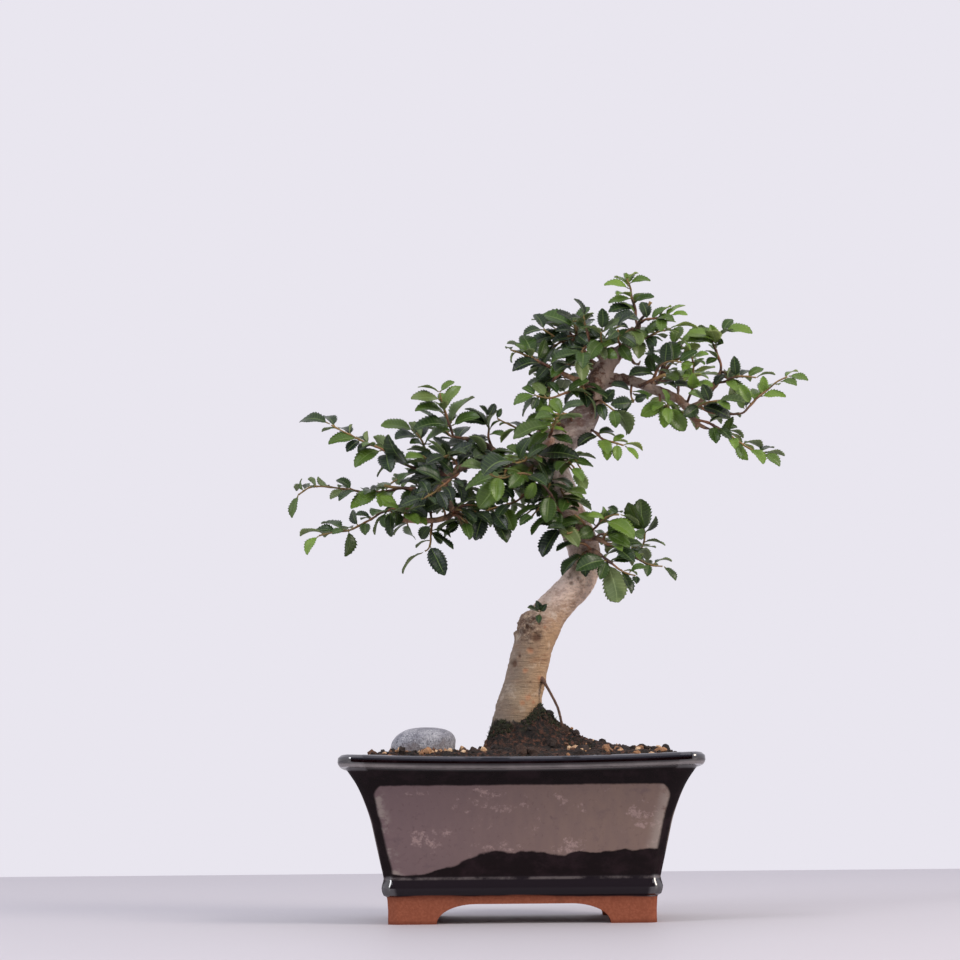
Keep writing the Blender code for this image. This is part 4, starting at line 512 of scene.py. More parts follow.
class Net:
    """Node tree of one new material, around its Principled shader. Patterns lie on the object's own place."""

    def __init__(self, name):
        self.material = bpy.data.materials.new(name)
        self.material.use_nodes = True
        self.tree = self.material.node_tree
        self.shader = self.tree.nodes["Principled BSDF"]
        self.place = self.node("TexCoord", {}, {}, "Object")

    def node(self, kind, settings, inputs, output=0):
        made = self.tree.nodes.new("ShaderNode" + kind)
        for name, value in settings.items():
            if name == "stops":
                elements = made.color_ramp.elements
                while len(elements) < len(value):
                    elements.new(0.5)
                for element, (at, colour) in zip(elements, value):
                    element.position = at
                    element.color = (*tone_of(colour), 1.0)
            else:
                setattr(made, name, value)
        for name, value in inputs.items():
            self.feed(made.inputs[name], value)
        return Socket(self, made.outputs[output])

    def feed(self, socket, value):
        if isinstance(value, Socket):
            self.tree.links.new(value.link, socket)
        elif isinstance(value, tuple) and len(socket.default_value) == 4:
            socket.default_value = (*value, 1.0)
        else:
            socket.default_value = value

    def sum(self, operation, *values):
        return self.node("Math", {"operation": operation}, dict(enumerate(values)))

    def axis(self, vector, letter):
        return self.node("SeparateXYZ", {}, {0: vector}, "XYZ".index(letter))

    def along(self, letter):
        """Millimetres along an axis of the pot."""
        return (self.axis(self.place, letter) - float(ORIGIN["XYZ".index(letter)])) * (1 / MM)

    def number(self, label):
        """The number of that name which the piece's points carry."""
        return self.node("Attribute", {"attribute_name": label}, {}, "Fac")

    def speckle(self, scale, detail=3.0, rough=0.55, stretch=None):
        """Noise of so many waves a metre, about 0.5 in the middle, with the place multiplied by stretch."""
        vector = self.place
        if stretch:
            vector = self.node("Mapping", {}, {"Vector": vector, "Scale": stretch})
        return self.node("TexNoise", {}, {"Vector": vector, "Scale": scale, "Detail": detail,
                                                    "Roughness": rough})

    def cells(self, scale):
        """Distance to the nearest of points strewn so many a metre."""
        return self.node("TexVoronoi", {}, {"Vector": self.place, "Scale": scale})

    def ramp(self, share, *stops):
        """Colour by a share from 0 to 1, through stops of (share, colour)."""
        return self.node("ValToRGB", {"stops": stops}, {0: share})

    def blend(self, share, first, second):
        """Colour: first where the share is 0 and second where it is 1."""
        return self.node("Mix", {"data_type": "RGBA"}, {0: share, 6: tone_of(first), 7: tone_of(second)}, 2)

    def coats(self, tone, *layers):
        """A colour under layers of (share, colour), each laid over the last."""
        for share, colour in layers:
            tone = self.blend(share, tone, colour)
        return tone

    def bump(self, height, distance, strength=1.0):
        """Relief of a height from 0 to 1, distance metres deep."""
        return self.node("Bump", {}, {"Height": height, "Distance": distance, "Strength": strength})

    def finish(self, **sockets):
        """Set the shader's sockets, named with underscores for spaces, and give the material."""
        for name, value in sockets.items():
            self.feed(self.shader.inputs[name.replace("_", " ")], value)
        return self.material


# Pot, in millimetres from its own middle: the same outlines as its solid, with finer rings
RIM_X = 78.8
RIM_Y = 60.0
LIP_SAG = 1.8
# Rows of inset from the rim and height: up the outside, then down the inside
OUTER_WALL = table("""
20.8 0,20.6 9,20.3 11.6,18.9 12.4,18.1 15.5,18.8 18.3,19 19.6,17.2 28,15.5 36,13.5 45,10.8 53,7.8 60,
4.4 65.5,3.2 67.2,1 67.6,0 69.6,0.2 71.6,1.4 72.8
""")
INNER_WALL = table("3.4 73,5.2 72,8 68.4,12.8 60,17.1 50,20.2 38,23.9 17")
CORNER_FOOT = 5.0
CORNER_RIM = 9.0
FOOT_INSET = 20.8
# The lip's sag starts at this height and is full so much higher
LIP_FADE = (55.0, 18.0)
RECESS_INSET = 29.3
RECESS_TOP = 10.0
# Arches between the feet: start, end, length of each curved end, and whether they run from front to back
ARCHES = [(-37.0, 38.0, 17.0, False), (-24.0, 24.0, 12.0, True)]
ARCH_TOP = 8.5
DRAIN_X = 30.0
DRAIN_RADIUS = 6.0
DRAIN_SIDES = 40
CORNER_STEPS = 9
SIDE_STEPS = 22
SHARP_ANGLE = math.radians(32)


def rounded_ring(half_x, half_y, corner, turns, straight):
    """Points of a rounded rectangle, counter-clockwise: quarter circles, and even steps along each side."""
    corner = min(corner, half_x - 0.5, half_y - 0.5)
    flat_x, flat_y = half_x - corner, half_y - corner
    angle = np.linspace(0, math.pi / 2, turns + 1)
    share = np.arange(1, straight)[:, None] / straight
    arcs = []
    for quarter, (sx, sy) in enumerate(((1, 1), (-1, 1), (-1, -1), (1, -1))):
        turned = angle + quarter * math.pi / 2
        arc = np.stack([np.cos(turned), np.sin(turned)], axis=1) * corner
        arcs.append(arc + [sx * flat_x, sy * flat_y])
    return np.vstack([part for arc, following in zip(arcs, arcs[1:] + arcs[:1])
                      for part in (arc, arc[-1] + (following[0] - arc[-1]) * share)])


def corner_at(inset):
    """Corner radius of the wall, growing evenly from the foot to the rim."""
    return CORNER_FOOT + (CORNER_RIM - CORNER_FOOT) * max(0.0, 1 - inset / FOOT_INSET)


def wall_ring(inset, height):
    """One level of the wall; each side of the lip sags by 1 - (x / half)^2, which fades out below it."""
    ring = rounded_ring(RIM_X - inset, RIM_Y - inset, corner_at(inset), CORNER_STEPS, SIDE_STEPS)
    share = min(1.0, max(0.0, (height - LIP_FADE[0]) / LIP_FADE[1]))
    long_side = np.abs(ring[:, 1]) > np.abs(ring[:, 0]) * RIM_Y / RIM_X
    across = np.where(long_side, 1 - (ring[:, 0] / RIM_X) ** 2, 1 - (ring[:, 1] / RIM_Y) ** 2)
    return np.column_stack([ring, height - LIP_SAG * share * np.maximum(across, 0)])


def capped(rings):
    """Points and faces of a skin over equal rings, with a fan to the middle of the first and the last."""
    rings = np.asarray(rings)
    points = np.vstack([rings.reshape(-1, 3), rings[0].mean(axis=0), rings[-1].mean(axis=0)]) * MM + ORIGIN
    return points, closed_grid(*rings.shape[:2])


def prism(outline, low, high):
    """Points and faces of an upright block over an outline."""
    return capped([np.column_stack([outline, np.full(len(outline), z)]) for z in (low, high)])


def cut_away(piece, points, faces):
    """Take a closed shape out of a piece."""
    tool = link("tool", bare_mesh("tool", points, faces))
    change = piece.modifiers.new("Cut", "BOOLEAN")
    change.operation = "DIFFERENCE"
    change.solver = "EXACT"
    change.object = tool
    apply_modifiers(piece)
    bpy.data.meshes.remove(tool.data)


def fine_profile(rows, step):
    """Wall outline with a point about every step: a Catmull-Rom curve through the outline's own points."""
    return smooth([(*row, 0.0) for row in rows], step)[:, :2].tolist()


def build_pot(finish):
    """Closed wall rings from the foot over the lip to the inner floor, less the recess, arches and drains."""
    foot = OUTER_WALL[0][0]
    levels = [(foot, 0), (foot, 3), (foot, 6)]
    levels += fine_profile(OUTER_WALL[1:], 1.4) + fine_profile(INNER_WALL, 2.2)
    skin = capped([wall_ring(*level) for level in levels])
    piece = put_mesh("glazed_pot", *skin, [finish], "glazed_stoneware")
    recess = rounded_ring(RIM_X - RECESS_INSET, RIM_Y - RECESS_INSET, CORNER_FOOT, 6, 1)
    cut_away(piece, *prism(recess, -2.0, RECESS_TOP))
    turn = np.linspace(0, math.pi / 2, 14)
    for start, end, curve, across in ARCHES:
        reach = curve * (1 - np.cos(turn))
        right = np.column_stack([end - reach, ARCH_TOP * np.sin(turn)])
        left = np.column_stack([start + reach, ARCH_TOP * np.sin(turn)])[::-1]
        section = np.vstack([[(start, -3.0), (end, -3.0)], right, left])
        ends = [np.insert(section, 1, y, axis=1) for y in (90.0, -90.0)]
        if across:
            ends = [end_ring[:, [1, 0, 2]] for end_ring in ends[::-1]]
        cut_away(piece, *capped(ends))
    turn = np.arange(DRAIN_SIDES) * 2 * math.pi / DRAIN_SIDES
    for side in (-1, 1):
        circle = np.column_stack([side * DRAIN_X + DRAIN_RADIUS * np.cos(turn), DRAIN_RADIUS * np.sin(turn)])
        cut_away(piece, *prism(circle, -3.0, 27.0))
    shade_smooth(piece.data)
    piece.data.set_sharp_from_angle(angle=SHARP_ANGLE)
    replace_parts(piece, "pot")


# Soil, in millimetres from the pot's middle
SOIL_EDGE = 70.4
SOIL_LEVEL = 73.4
SOIL_CROWN_STEP = 13.0
SOIL_INSET = 7.75
LIP_CLEAR = 7.0
# Mound: heights at its left and right, start and width of the step between them, middle, and how it falls off
MOUND_TOPS = (15.4, 21.0)
MOUND_STEP = (-2.0, 11.0)
MOUND_X = 3.0
MOUND_LEFT = (17.2, 8)
MOUND_RIGHT = (10.0, 16.0)
MOUND_DEPTH = (19.5, 3)
SOIL_SEED = 5
GRIT_SEED = 12
MOSS_SEED = 23
STONE_MIDDLE = (-42.8, -16.0, 76.3)
STONE_HALF = (14.6, 12.0, 8.0)
STONE_SQUARENESS = (0.8, 0.82, 0.66)
STONE_LEAN = 2.6
# Grains that show one by one: x, y, middle over the soil, half size, and tone from 0 dark to 1 pale tan
MARKED_GRAINS = table("""
-16.3 -36 0.6 2 0.95,24.3 -28 0.9 1.9 0.9,-35 -42 0.2 1.6 0.8,-39.5 -42 0 2.2 0.86,-43 -44 -0.3 1.6 0.7,
-20.5 -38 0.3 1.7 0.38,-24.5 -39 0.2 1.9 0.5,-29 -37 0.3 1.3 0.12,0 -44 0.3 3.4 0.42,5 -45 0 2.6 0.4,
27.8 -36 0.3 2.6 0.34,43 -38 -0.3 1.6 0.85,38 -40 -0.2 1.3 0.75,49.3 -26 1 1.6 0.2,53.4 -24 1.2 2.5 0.3,
58.6 -24 0.9 1.9 0.14,64 -20 1.5 2.9 0.03,67.6 -18 0.6 1.8 0.16,35 -30 0.5 1.5 0.45,-9 -44 0.2 1.5 0.3,
20 -22 0.6 1.4 0.6,14 -24 0.5 1.6 0.3,31 -16 0.6 1.5 0.35,-18.5 -20 0.7 1.7 0.5
""")
# Moss: middle x, y, half widths and number of stems
MOSS_PATCHES = table("""
-11 -7 4 9 800,-8 -13 5 4 420,13 -8 5 6 520,5 -13 4 3 260,9 12 6 5 240,-9 10 5 6 260,26 -20 7 5 120,
-24 12 8 7 260,44 20 9 6 200
""")
STEM_RADIUS = 0.3


def soil_height(x, y):
    """Open soil surface: level earth that dips at the walls by a smooth step, and the mound.

    The mound is higher right of MOUND_STEP, falls steeply on its left and exponentially on its right."""
    edge = np.minimum(RIM_X - LIP_CLEAR - np.abs(x), RIM_Y - LIP_CLEAR - np.abs(y))
    level = SOIL_EDGE + (SOIL_LEVEL - SOIL_EDGE) * ease(np.clip(edge / SOIL_CROWN_STEP, 0, 1))
    step = np.clip((x - MOUND_STEP[0]) / MOUND_STEP[1], 0, 1)
    top = MOUND_TOPS[0] + (MOUND_TOPS[1] - MOUND_TOPS[0]) * ease(step)
    left = np.exp(-(np.maximum(0, MOUND_X - x) / MOUND_LEFT[0]) ** MOUND_LEFT[1])
    right = np.exp(-np.maximum(0, x - MOUND_RIGHT[0]) / MOUND_RIGHT[1])
    return level + top * left * right * np.exp(-(np.abs(y) / MOUND_DEPTH[0]) ** MOUND_DEPTH[1])


def crumbs(x, y):
    """Loose crumb of the earth in mm: noise 4 mm wide, ridges 1.5 mm wide, and cracks in the mound."""
    flat = np.stack([x, y, np.zeros_like(x)], axis=-1)
    coarse = noise(flat / 3.6, SOIL_SEED, 3)
    ridged = 1 - np.abs(noise(flat / 1.4, SOIL_SEED + 9, 2)) * 2
    cracked = np.clip(1 - np.abs(noise(flat / 4.2, SOIL_SEED + 4, 2)) / 0.1, 0, 1)
    steep = np.exp(-((x - MOUND_X) / 24) ** 4 - (y / 24) ** 4)
    return (1.0 + 1.6 * steep) * coarse + (0.6 + 1.0 * steep) * ridged - 1.5 * steep * cracked


def crumbled(x, y):
    """Height of the crumbly surface."""
    return soil_height(x, y) + crumbs(x, y)


def build_soil(finish):
    """Rings from the pot's wall to the trunk, each the wall's rounded rectangle shrunk towards the mound."""
    border = rounded_ring(RIM_X - SOIL_INSET, RIM_Y - SOIL_INSET, corner_at(SOIL_INSET), 10, 58)
    share = np.linspace(1.0, 0.05, 78)[:, None]
    x = border[None, :, 0] * share + MOUND_X * (1 - share)
    y = border[None, :, 1] * share
    fade = np.clip((1 - share) / 0.03, 0, 1)
    z = soil_height(x, y) + crumbs(x, y) * fade - 0.4 * (1 - fade)
    below = [np.column_stack([border * scale, np.full(len(border), height)])
             for scale, height in ((0.8, 56.0), (0.92, 64.0), (0.995, 70.0))]
    rings = np.concatenate([np.stack(below), np.stack([x, y, z], axis=-1)])
    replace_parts(put_mesh("earth", *capped(rings), [finish], "soil"), "soil")


def scattered_grains(draw, centres, sizes, level):
    """Points, faces and each grain's chance of stretched balls with a crumpled skin, one at each centre:
    radius 1 + noise, then squashed, tilted about X and turned about Z."""
    round_ball, triangles = ball(level)
    count = len(centres)
    stretch = draw.uniform(0.62, 1.15, (count, 1, 3))
    dent = 1 + 0.45 * noise(round_ball[None] * 1.6 + draw.uniform(0, 90, (count, 1, 3)), 3)
    points = round_ball[None] * dent[..., None] * stretch
    turn = draw.uniform(0, 2 * math.pi, count)
    tilt = draw.uniform(-0.7, 0.7, count)
    ct, st, cz, sz = np.cos(tilt), np.sin(tilt), np.cos(turn), np.sin(turn)
    zero, one = np.zeros(count), np.ones(count)
    lean = np.array([[one, zero, zero], [zero, ct, -st], [zero, st, ct]]).transpose(2, 0, 1)
    spin = np.array([[cz, -sz, zero], [sz, cz, zero], [zero, zero, one]]).transpose(2, 0, 1)
    points = np.einsum("nij,nkj->nki", spin @ lean, points) * sizes[:, None, None] + centres[:, None]
    part = (points.reshape(-1, 3) * MM + ORIGIN, copies(triangles, count, len(round_ball)).tolist())
    return part, draw.uniform(0, 1, count), len(round_ball)


def free_place(x, y):
    """True off the stone and off the trunk."""
    sx, sy, _ = STONE_MIDDLE
    off_stone = ((x - sx) / (STONE_HALF[0] + 1)) ** 2 + ((y - sy) / (STONE_HALF[1] + 1)) ** 2 > 1
    return off_stone & ((x / 12.5) ** 2 + (y / 11.0) ** 2 > 1)


def build_grit(finish, size, count):
    """Grains and small pebbles half sunk in the earth, larger ones first; those on the mound are darker."""
    draw = np.random.default_rng(GRIT_SEED)
    parts = []
    tones = []
    for number, low, high, level in ((count // 6, 0.6, 1.00, 2), (count, 0.22, 0.56, 1)):
        x = draw.uniform(-67, 67, number)
        y = draw.uniform(-50, 50, number)
        keep = free_place(x, y)
        steep = np.abs(x - MOUND_X) < 17
        keep &= ~steep | (draw.uniform(0, 1, number) < 0.6)
        x, y, steep = x[keep], y[keep], steep[keep]
        sizes = draw.uniform(low, high, len(x)) * size / MM
        z = crumbled(x, y) + sizes * draw.uniform(-0.25, 0.35, len(x))
        part, chance, each = scattered_grains(draw, np.stack([x, y, z], axis=1), sizes, level)
        parts.append(part)
        tones.append(np.repeat(chance * np.where(steep, 0.45, 1.0), each))
    placed = np.array(MARKED_GRAINS)
    placed[:, 2] += soil_height(placed[:, 0], placed[:, 1])
    part, _, each = scattered_grains(draw, placed[:, :3], placed[:, 3], 2)
    points, faces = gather(parts + [part])
    tones.append(np.repeat(placed[:, 4], each))
    put_mesh("grit", points, faces, [finish], "soil", {"tone": np.concatenate(tones)}, shade=False)


def build_moss(finish, height):
    """Short pointed moss stems, each a three-sided spike that leans at random, in patches on the mound."""
    draw = np.random.default_rng(MOSS_SEED)
    x, y = [], []
    for cx, cy, rx, ry, number in MOSS_PATCHES:
        angle = draw.uniform(0, 2 * math.pi, int(number))
        reach = np.sqrt(draw.uniform(0, 1, int(number)))
        x.append(cx + rx * reach * np.cos(angle))
        y.append(cy + ry * reach * np.sin(angle))
    x, y = np.concatenate(x), np.concatenate(y)
    keep = (x / 9.5) ** 2 + (y / 9.5) ** 2 > 1
    x, y = x[keep], y[keep]
    count = len(x)
    root = np.stack([x, y, crumbled(x, y) - 0.5], axis=1)
    tall = height / MM * draw.uniform(0.5, 1.2, count)
    lean = np.stack([draw.normal(0, 0.45, count), draw.normal(-0.15, 0.45, count), np.ones(count)], axis=1)
    angle = draw.uniform(0, 2 * math.pi, count)
    ring = [root + STEM_RADIUS * np.stack([np.cos(angle + k), np.sin(angle + k), np.zeros(count)], axis=1)
            for k in np.arange(3) * 2 * math.pi / 3]
    points = np.stack(ring + [root + lean * tall[:, None]], axis=1).reshape(-1, 3)
    faces = copies(np.array([[0, 1, 3], [1, 2, 3], [2, 0, 3], [0, 2, 1]]), count, 4)
    share = np.tile([0, 0, 0, 1.0], count)
    put_mesh("moss", points * MM + ORIGIN, faces.tolist(), [finish], "leaf", {"share": share})


def build_stone(finish):
    """Water-worn stone: the ball of its solid, with each part of its way out to a power that flattens the
    top, on two slow waves, and leant to the right."""
    way, triangles = ball(6)
    bulge = (1 + 0.07 * np.sin(2.3 * way[:, 0] + 1.1 * way[:, 2] + 0.6)
             + 0.05 * np.sin(3.1 * way[:, 1] - 1.7 * way[:, 0]) + 0.012 * noise(way * 5, 4, 3))
    size = np.array(STONE_HALF) * np.abs(way) ** np.array(STONE_SQUARENESS) * np.sign(way) * bulge[:, None]
    size[:, 0] += STONE_LEAN * way[:, 2]
    points = (size + STONE_MIDDLE) * MM + ORIGIN
    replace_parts(put_mesh("river_stone", points, triangles.tolist(), [finish], "river_stone"), "stone")


# Wood: seed, edge of a cell of the even skin, and how much a pass of smoothing moves it
WOOD_SEED = 31
WOOD_VOXEL = 0.52
SKIN_SMOOTHING = (0.5, 5)
TRUNK_SIDES = 36
LIMB_SIDES = 18
BLOCK = 4000
# Marks on the bark where they show in the front view. Scars: x, z, radius, depth, darkness. Round tan marks:
# x, z, radius. Swellings and hollows: x, z, radius, height out of the skin. The rough burl: x, z, radius.
SCARS = table("""
8.5 125.2 2.5 0.8 1,5.4 119.4 1.5 0.5 0.35,-2 113.6 2 0.7 1,0.6 116.8 0.9 0.4 0.9,10.3 105.6 1.1 0.7 1,
5 105 1 0.3 0.5,3 110.4 0.9 0.3 0.45,24.2 149.8 1.7 0.4 0.75,27.4 152 1.2 0.3 0.8,4.5 130.5 1.6 0.6 0.8,
3.2 127.6 1 0.5 0.7,7 134 1.2 0.5 0.8,14.5 216 2.2 0.6 0.45,10.5 206 2.2 0.4 0.6,30 165 2 0.4 0.7,
33 221 1.2 0.35 0.7,18 139 0.9 0.3 0.6,13 128.6 0.8 0.3 0.6,28 160 1.3 0.3 0.7,20 199 1.4 0.3 0.6
""")
TAN_MARKS = table("""
5.4 119.4 1.5,3 110.4 1.2,9.6 107 1.3,4.2 98.4 1.6,1.5 96 1.2,6.6 96.2 1,15 214.5 3,12 130 0.9,10.6 207 2.4
""")
SWELLINGS = table("""
1.6 133.8 3 0.9,10.4 142.6 3 -1.3,-2.6 126.4 1.3 0.8,6 124.6 3.4 0.5,-3.4 114.6 1.1 0.7,-6 102 0.8 0.5,
-8.2 94.5 0.8 0.6,13.4 121 1.2 0.7
""")
BURL = (4.0, 130.5, 7.5)
BURL_DEPTH = -6
TRUNK_ROWS = smooth(TRUNK, 1.0)


def nearest_on(places, samples, radii):
    """Index of the sample whose round skin is nearest to each place, worked out a block at a time."""
    out = np.empty(len(places), dtype=np.int64)
    for start in range(0, len(places), BLOCK):
        block = places[start:start + BLOCK]
        gaps = np.sqrt(((block[:, None] - samples[None]) ** 2).sum(axis=2)) - radii
        out[start:start + BLOCK] = gaps.argmin(axis=1)
    return out


def trunk_front(x, z):
    """Place on the near side of the trunk that shows at x, z."""
    axis = TRUNK_ROWS[np.argmin((TRUNK_ROWS[:, 0] - x) ** 2 + (TRUNK_ROWS[:, 2] - z) ** 2)]
    across = min(0.95, abs(x - axis[0]) / axis[3])
    return seen([(x, axis[1] - axis[3] * math.sqrt(1 - across * across), z)])[0]


def read_vectors(data, label):
    """Rows of three numbers of every point of a mesh."""
    flat = np.empty(len(data) * 3, dtype=np.float32)
    data.foreach_get(label, flat)
    return flat.reshape(-1, 3).astype(float)


def joined_tubes(runs):
    """Points and faces of the trunk and limbs as round tubes, and of the knobs as balls."""
    parts = [tube(places, radii, LIMB_SIDES if i else TRUNK_SIDES) for i, (places, radii) in enumerate(runs)]
    round_ball, triangles = ball(3)
    for x, y, z, radius in KNOBS:
        parts.append((round_ball * radius * MM + seen([(x, y, z)]), triangles.tolist()))
    return gather(parts)


def build_wood(finish, relief):
    """Tubes and balls merged in one even skin and smoothed. The skin then moves along its normals by lumps,
    rings round the trunk, loose flakes, fine grain, folds at the burl, scars, swellings and hollows."""
    fine = [smooth(points, 1.6) for points in (TRUNK, *LIMBS.values())]
    runs = [(seen(rows), rows[:, 3] * MM) for rows in fine]
    piece = put_mesh("bark", *joined_tubes(runs), [finish], "bark")
    skin = piece.modifiers.new("Skin", "REMESH")
    skin.mode = "VOXEL"
    skin.voxel_size = WOOD_VOXEL * MM
    even = piece.modifiers.new("Even", "SMOOTH")
    even.factor, even.iterations = SKIN_SMOOTHING
    apply_modifiers(piece)
    mesh = piece.data
    places = read_vectors(mesh.vertices, "co")
    normals = read_vectors(mesh.vertex_normals, "vector")
    samples = np.vstack([run[0] for run in runs])
    thick = np.concatenate([run[1] for run in runs])
    near = nearest_on(places, samples, thick)
    radius = thick[near] / MM
    stout = np.clip((radius - 1.0) / 6.0, 0, 1)
    outward = unit(places - samples[near])
    at = (places - ORIGIN) / MM
    height = at[:, 2]

    def rough(scale, seed, octaves=2):
        return noise(at / np.array(scale), WOOD_SEED + seed, octaves)

    def gap_from(x, z, wide):
        """Distance of each point from a mark on the trunk's front, in radii of the mark."""
        return np.linalg.norm(places - trunk_front(x, z), axis=1) / MM / wide

    lower = 1 - np.clip((height - 150) / 30, 0, 1)
    middle = seen([(BURL[0], BURL_DEPTH, BURL[1])])[0]
    burl = np.exp(-(np.linalg.norm(places - middle, axis=1) / MM / BURL[2]) ** 4)
    lumps = rough(8.5, 0) * 0.75 * stout
    around = np.column_stack([outward[:, :2] * 2.2, height / 0.85])
    wrinkle = noise(around, WOOD_SEED + 3, 2)
    flakes = np.clip((rough((2.6, 2.6, 3.6), 5) - 0.02) * 5, 0, 1)
    grain = rough(0.8, 7)
    gnarl = np.clip((height - 222) / 12, 0, 1) * (0.35 + 0.65 * np.clip(radius / 4, 0, 1))
    lumps = lumps + 0.75 * gnarl * rough((1.9, 1.9, 2.3), 17, 3)
    move = lumps + (0.2 * wrinkle * lower + 0.26 * (flakes - 0.5) * (1.15 - lower)) * (0.25 + 0.75 * stout)
    folds = 1 - 2 * np.abs(rough((1.5, 1.5, 1.1), 19))
    move = move + 0.1 * grain * (0.4 + 0.6 * stout)
    move = move + burl * (2.0 * rough(1.9, 11, 3) + 0.8 * (folds - 0.5))
    scar = np.zeros(len(places))
    for x, z, wide, deep, dark in SCARS:
        gap = gap_from(x, z, wide) * (1 + 0.35 * rough(1.2, 13))
        scar = np.maximum(scar, dark * np.exp(-gap**2))
        move = move - deep * np.exp(-(gap * 1.3) ** 2) + 0.45 * deep * np.exp(-((gap - 1.25) * 2.6) ** 2)
    tan = np.zeros(len(places))
    for x, z, wide in TAN_MARKS:
        tan = np.maximum(tan, np.clip(1.6 - 1.3 * gap_from(x, z, wide) + 0.5 * grain, 0, 1))
    for x, z, wide, high in SWELLINGS:
        move = move + high * np.exp(-gap_from(x, z, wide) ** 2)
    places += normals * (move * relief * MM)[:, None]
    mesh.vertices.foreach_set("co", places.astype(np.float32).ravel())
    set_numbers(mesh, {"scar": scar, "stout": stout, "tan": tan * 0.85, "rough": burl, "turn": outward[:, 0]})
    mesh.update()
    shade_smooth(mesh)
    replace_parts(piece, "wood")


# Growth: the same rules and the same draws as the solids, so that each leaf stays where its solid is
FACING = {"u": (0, 0, 1), "f": (0, -1, 0), "b": (0, 1, 0), "l": (-1, 0, 0), "r": (1, 0, 0)}
BLADE = 0.64
SMALLEST_BLADE = 10.6
LARGE_BLADE = 12.8
# A solid leaf's edge, as share of the length and share of half its width
BLADE_LARGE = [(0.3, 0.94), (0.38, 0.8), (0.6, 0.9), (0.67, 0.66)]
BLADE_SMALL = [(0.34, 1.0), (0.45, 0.8), (0.74, 0.62)]
BLADE_WIDTH = 0.48
BLADE_FOLD = 0.34
BLADE_ARCH = 0.1
TWIG_THICK = 0.75
TWIG_THIN = 0.48
TWIG_STEP = 9.5
FINE_STEP = 0.35
SHORTEST_TWIG = 6
GAP = 0.3
CLEAR = 0.45
OWN_SHARE = 0.3
ANYWHERE = 1.0
LEAF_REACH = 1.3
FILL_ANGLE = math.radians(58)
# Seeds and lengths of the leaves that fill a solid twig, stand beside them, and grow in the thickets
FILL_SEED = 41
FILL_LENGTH = (9.0, 14.5)
EXTRA_SEED = 77
EXTRA_LENGTH = (6.5, 12.5)
EXTRA_STEP = 5.0
THICKET_SEED = 91
THICKET_LENGTH = (9.5, 14.0)
# Ways to turn a leaf aside: degrees of swing and of pitch
DODGES = table("0 0,18 0,-18 0,0 16,0 -16,30 14,-30 14,30 -18,-30 -18,48 0,-48 0")
# Thickets: middle, half sizes, number of twigs, leaves on each
THICKETS = named("""
left_heart: -24 0 203 22 20 15 17 8;
left_low: -33 -6 184 19 13 8 8 6;
left_limb_front: -36 -14 182 14 5 5 7 5;
left_inner_heart: 1 -7 197 12 12 18 9 6;
fork_front: 14 -17 214 8 7 17 7 6;
trunk_front_low: 18 -15 184 8 5 13 8 6;
trunk_right_front: 25 -14 192 5 6 13 5 5;
low_right_heart: 40 0 170 14 13 11 6 6;
low_left_heart: 20 -7 176 8 8 10 4 5;
crown_left_heart: 22 -1 257 12 15 10 8 7;
crown_heart: 42 0 265 12 15 10 6 7;
crown_under_heart: 22 -4 240 12 9 8 6 5;
crown_right_heart: 66 4 252 13 13 8 3 6;
right_heart: 90 3 236 14 12 10 4 6
""")
THICKET_WOOD = 150
# Small leaves at the burl: base, tip, upper side. Bare spurs: x, y, z, radius.
BURL_LEAVES = table("""
9.6 -9 137 4.4 -12.5 139 fu,9.8 -9.5 136 9.2 -13 131.8 f,10.4 -9 137.5 8.2 -12 142 f,10 -9 137 13 -12.6 140.4 f
""")
SPURS = [table(spur) for spur in """
-46 -8 193.4 0.9,-51.6 -9 193.9 0.75,-57 -9.5 194.3 0.7,-61 -10 195.4 0.6;
57 -2 240 0.9,62 -5 242.5 0.8,66 -6 244.4 0.75,69 -7 245.2 0.9;
-22.5 -10 184 0.6,-23 -13 180 0.5,-22.4 -14 176 0.45,-23.6 -14 172.5 0.8;
57 -2 270 0.7,60.4 -5 274 0.6,61.6 -6 277.4 0.6,62.6 -6 279 0.9
""".split(";")]


def vector_of(place):
    return Vector(seen([place])[0])


def facing(code):
    return sum((Vector(FACING[letter]) for letter in code), Vector()).normalized()


def rotate(vector, axis, angle):
    return Matrix.Rotation(angle, 3, axis.normalized()) @ vector


def blade_plate(base, tip, up, width, large, half):
    """Tree of a leaf as a folded plate, each face half a thickness off the middle surface."""
    along = tip - base
    length = along.length
    along.normalize()
    upper = up - along * up.dot(along)
    if upper.length < 0.05:
        upper = along.orthogonal()
    upper.normalize()
    side = along.cross(upper)
    edge = BLADE_LARGE if large else BLADE_SMALL
    rise = length * BLADE_ARCH if large else 0.0
    points = [base, tip]
    if large:
        points.append(base + along * length * 0.5 + upper * rise)
    first = len(points)
    for hand in (-1, 1):
        for share, spread in edge:
            out = spread * width / 2
            lift = rise * 4 * share * (1 - share) + out * BLADE_FOLD
            points.append(base + along * length * share + side * out * hand + upper * lift)
    faces = []
    hub = 2 if large else 0
    for hand in (0, 1):
        corner = first + hand * len(edge)
        rim = [0] + list(range(corner, corner + len(edge))) + [1]
        faces += [(hub, a, b) for a, b in zip(rim, rim[1:]) if hub not in (a, b)]
    count = len(points)
    both = [p + upper * half for p in points] + [p - upper * half for p in points]
    skin = faces + [tuple(count + i for i in face) for face in faces]
    skin += [(face[0], face[1], count + face[1], count + face[0]) for face in faces]
    return BVHTree.FromPolygons(both, skin)


def node_tree(name):
    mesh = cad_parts[name].data
    return BVHTree.FromPolygons([v.co.copy() for v in mesh.vertices],
                                [tuple(p.vertices) for p in mesh.polygons])


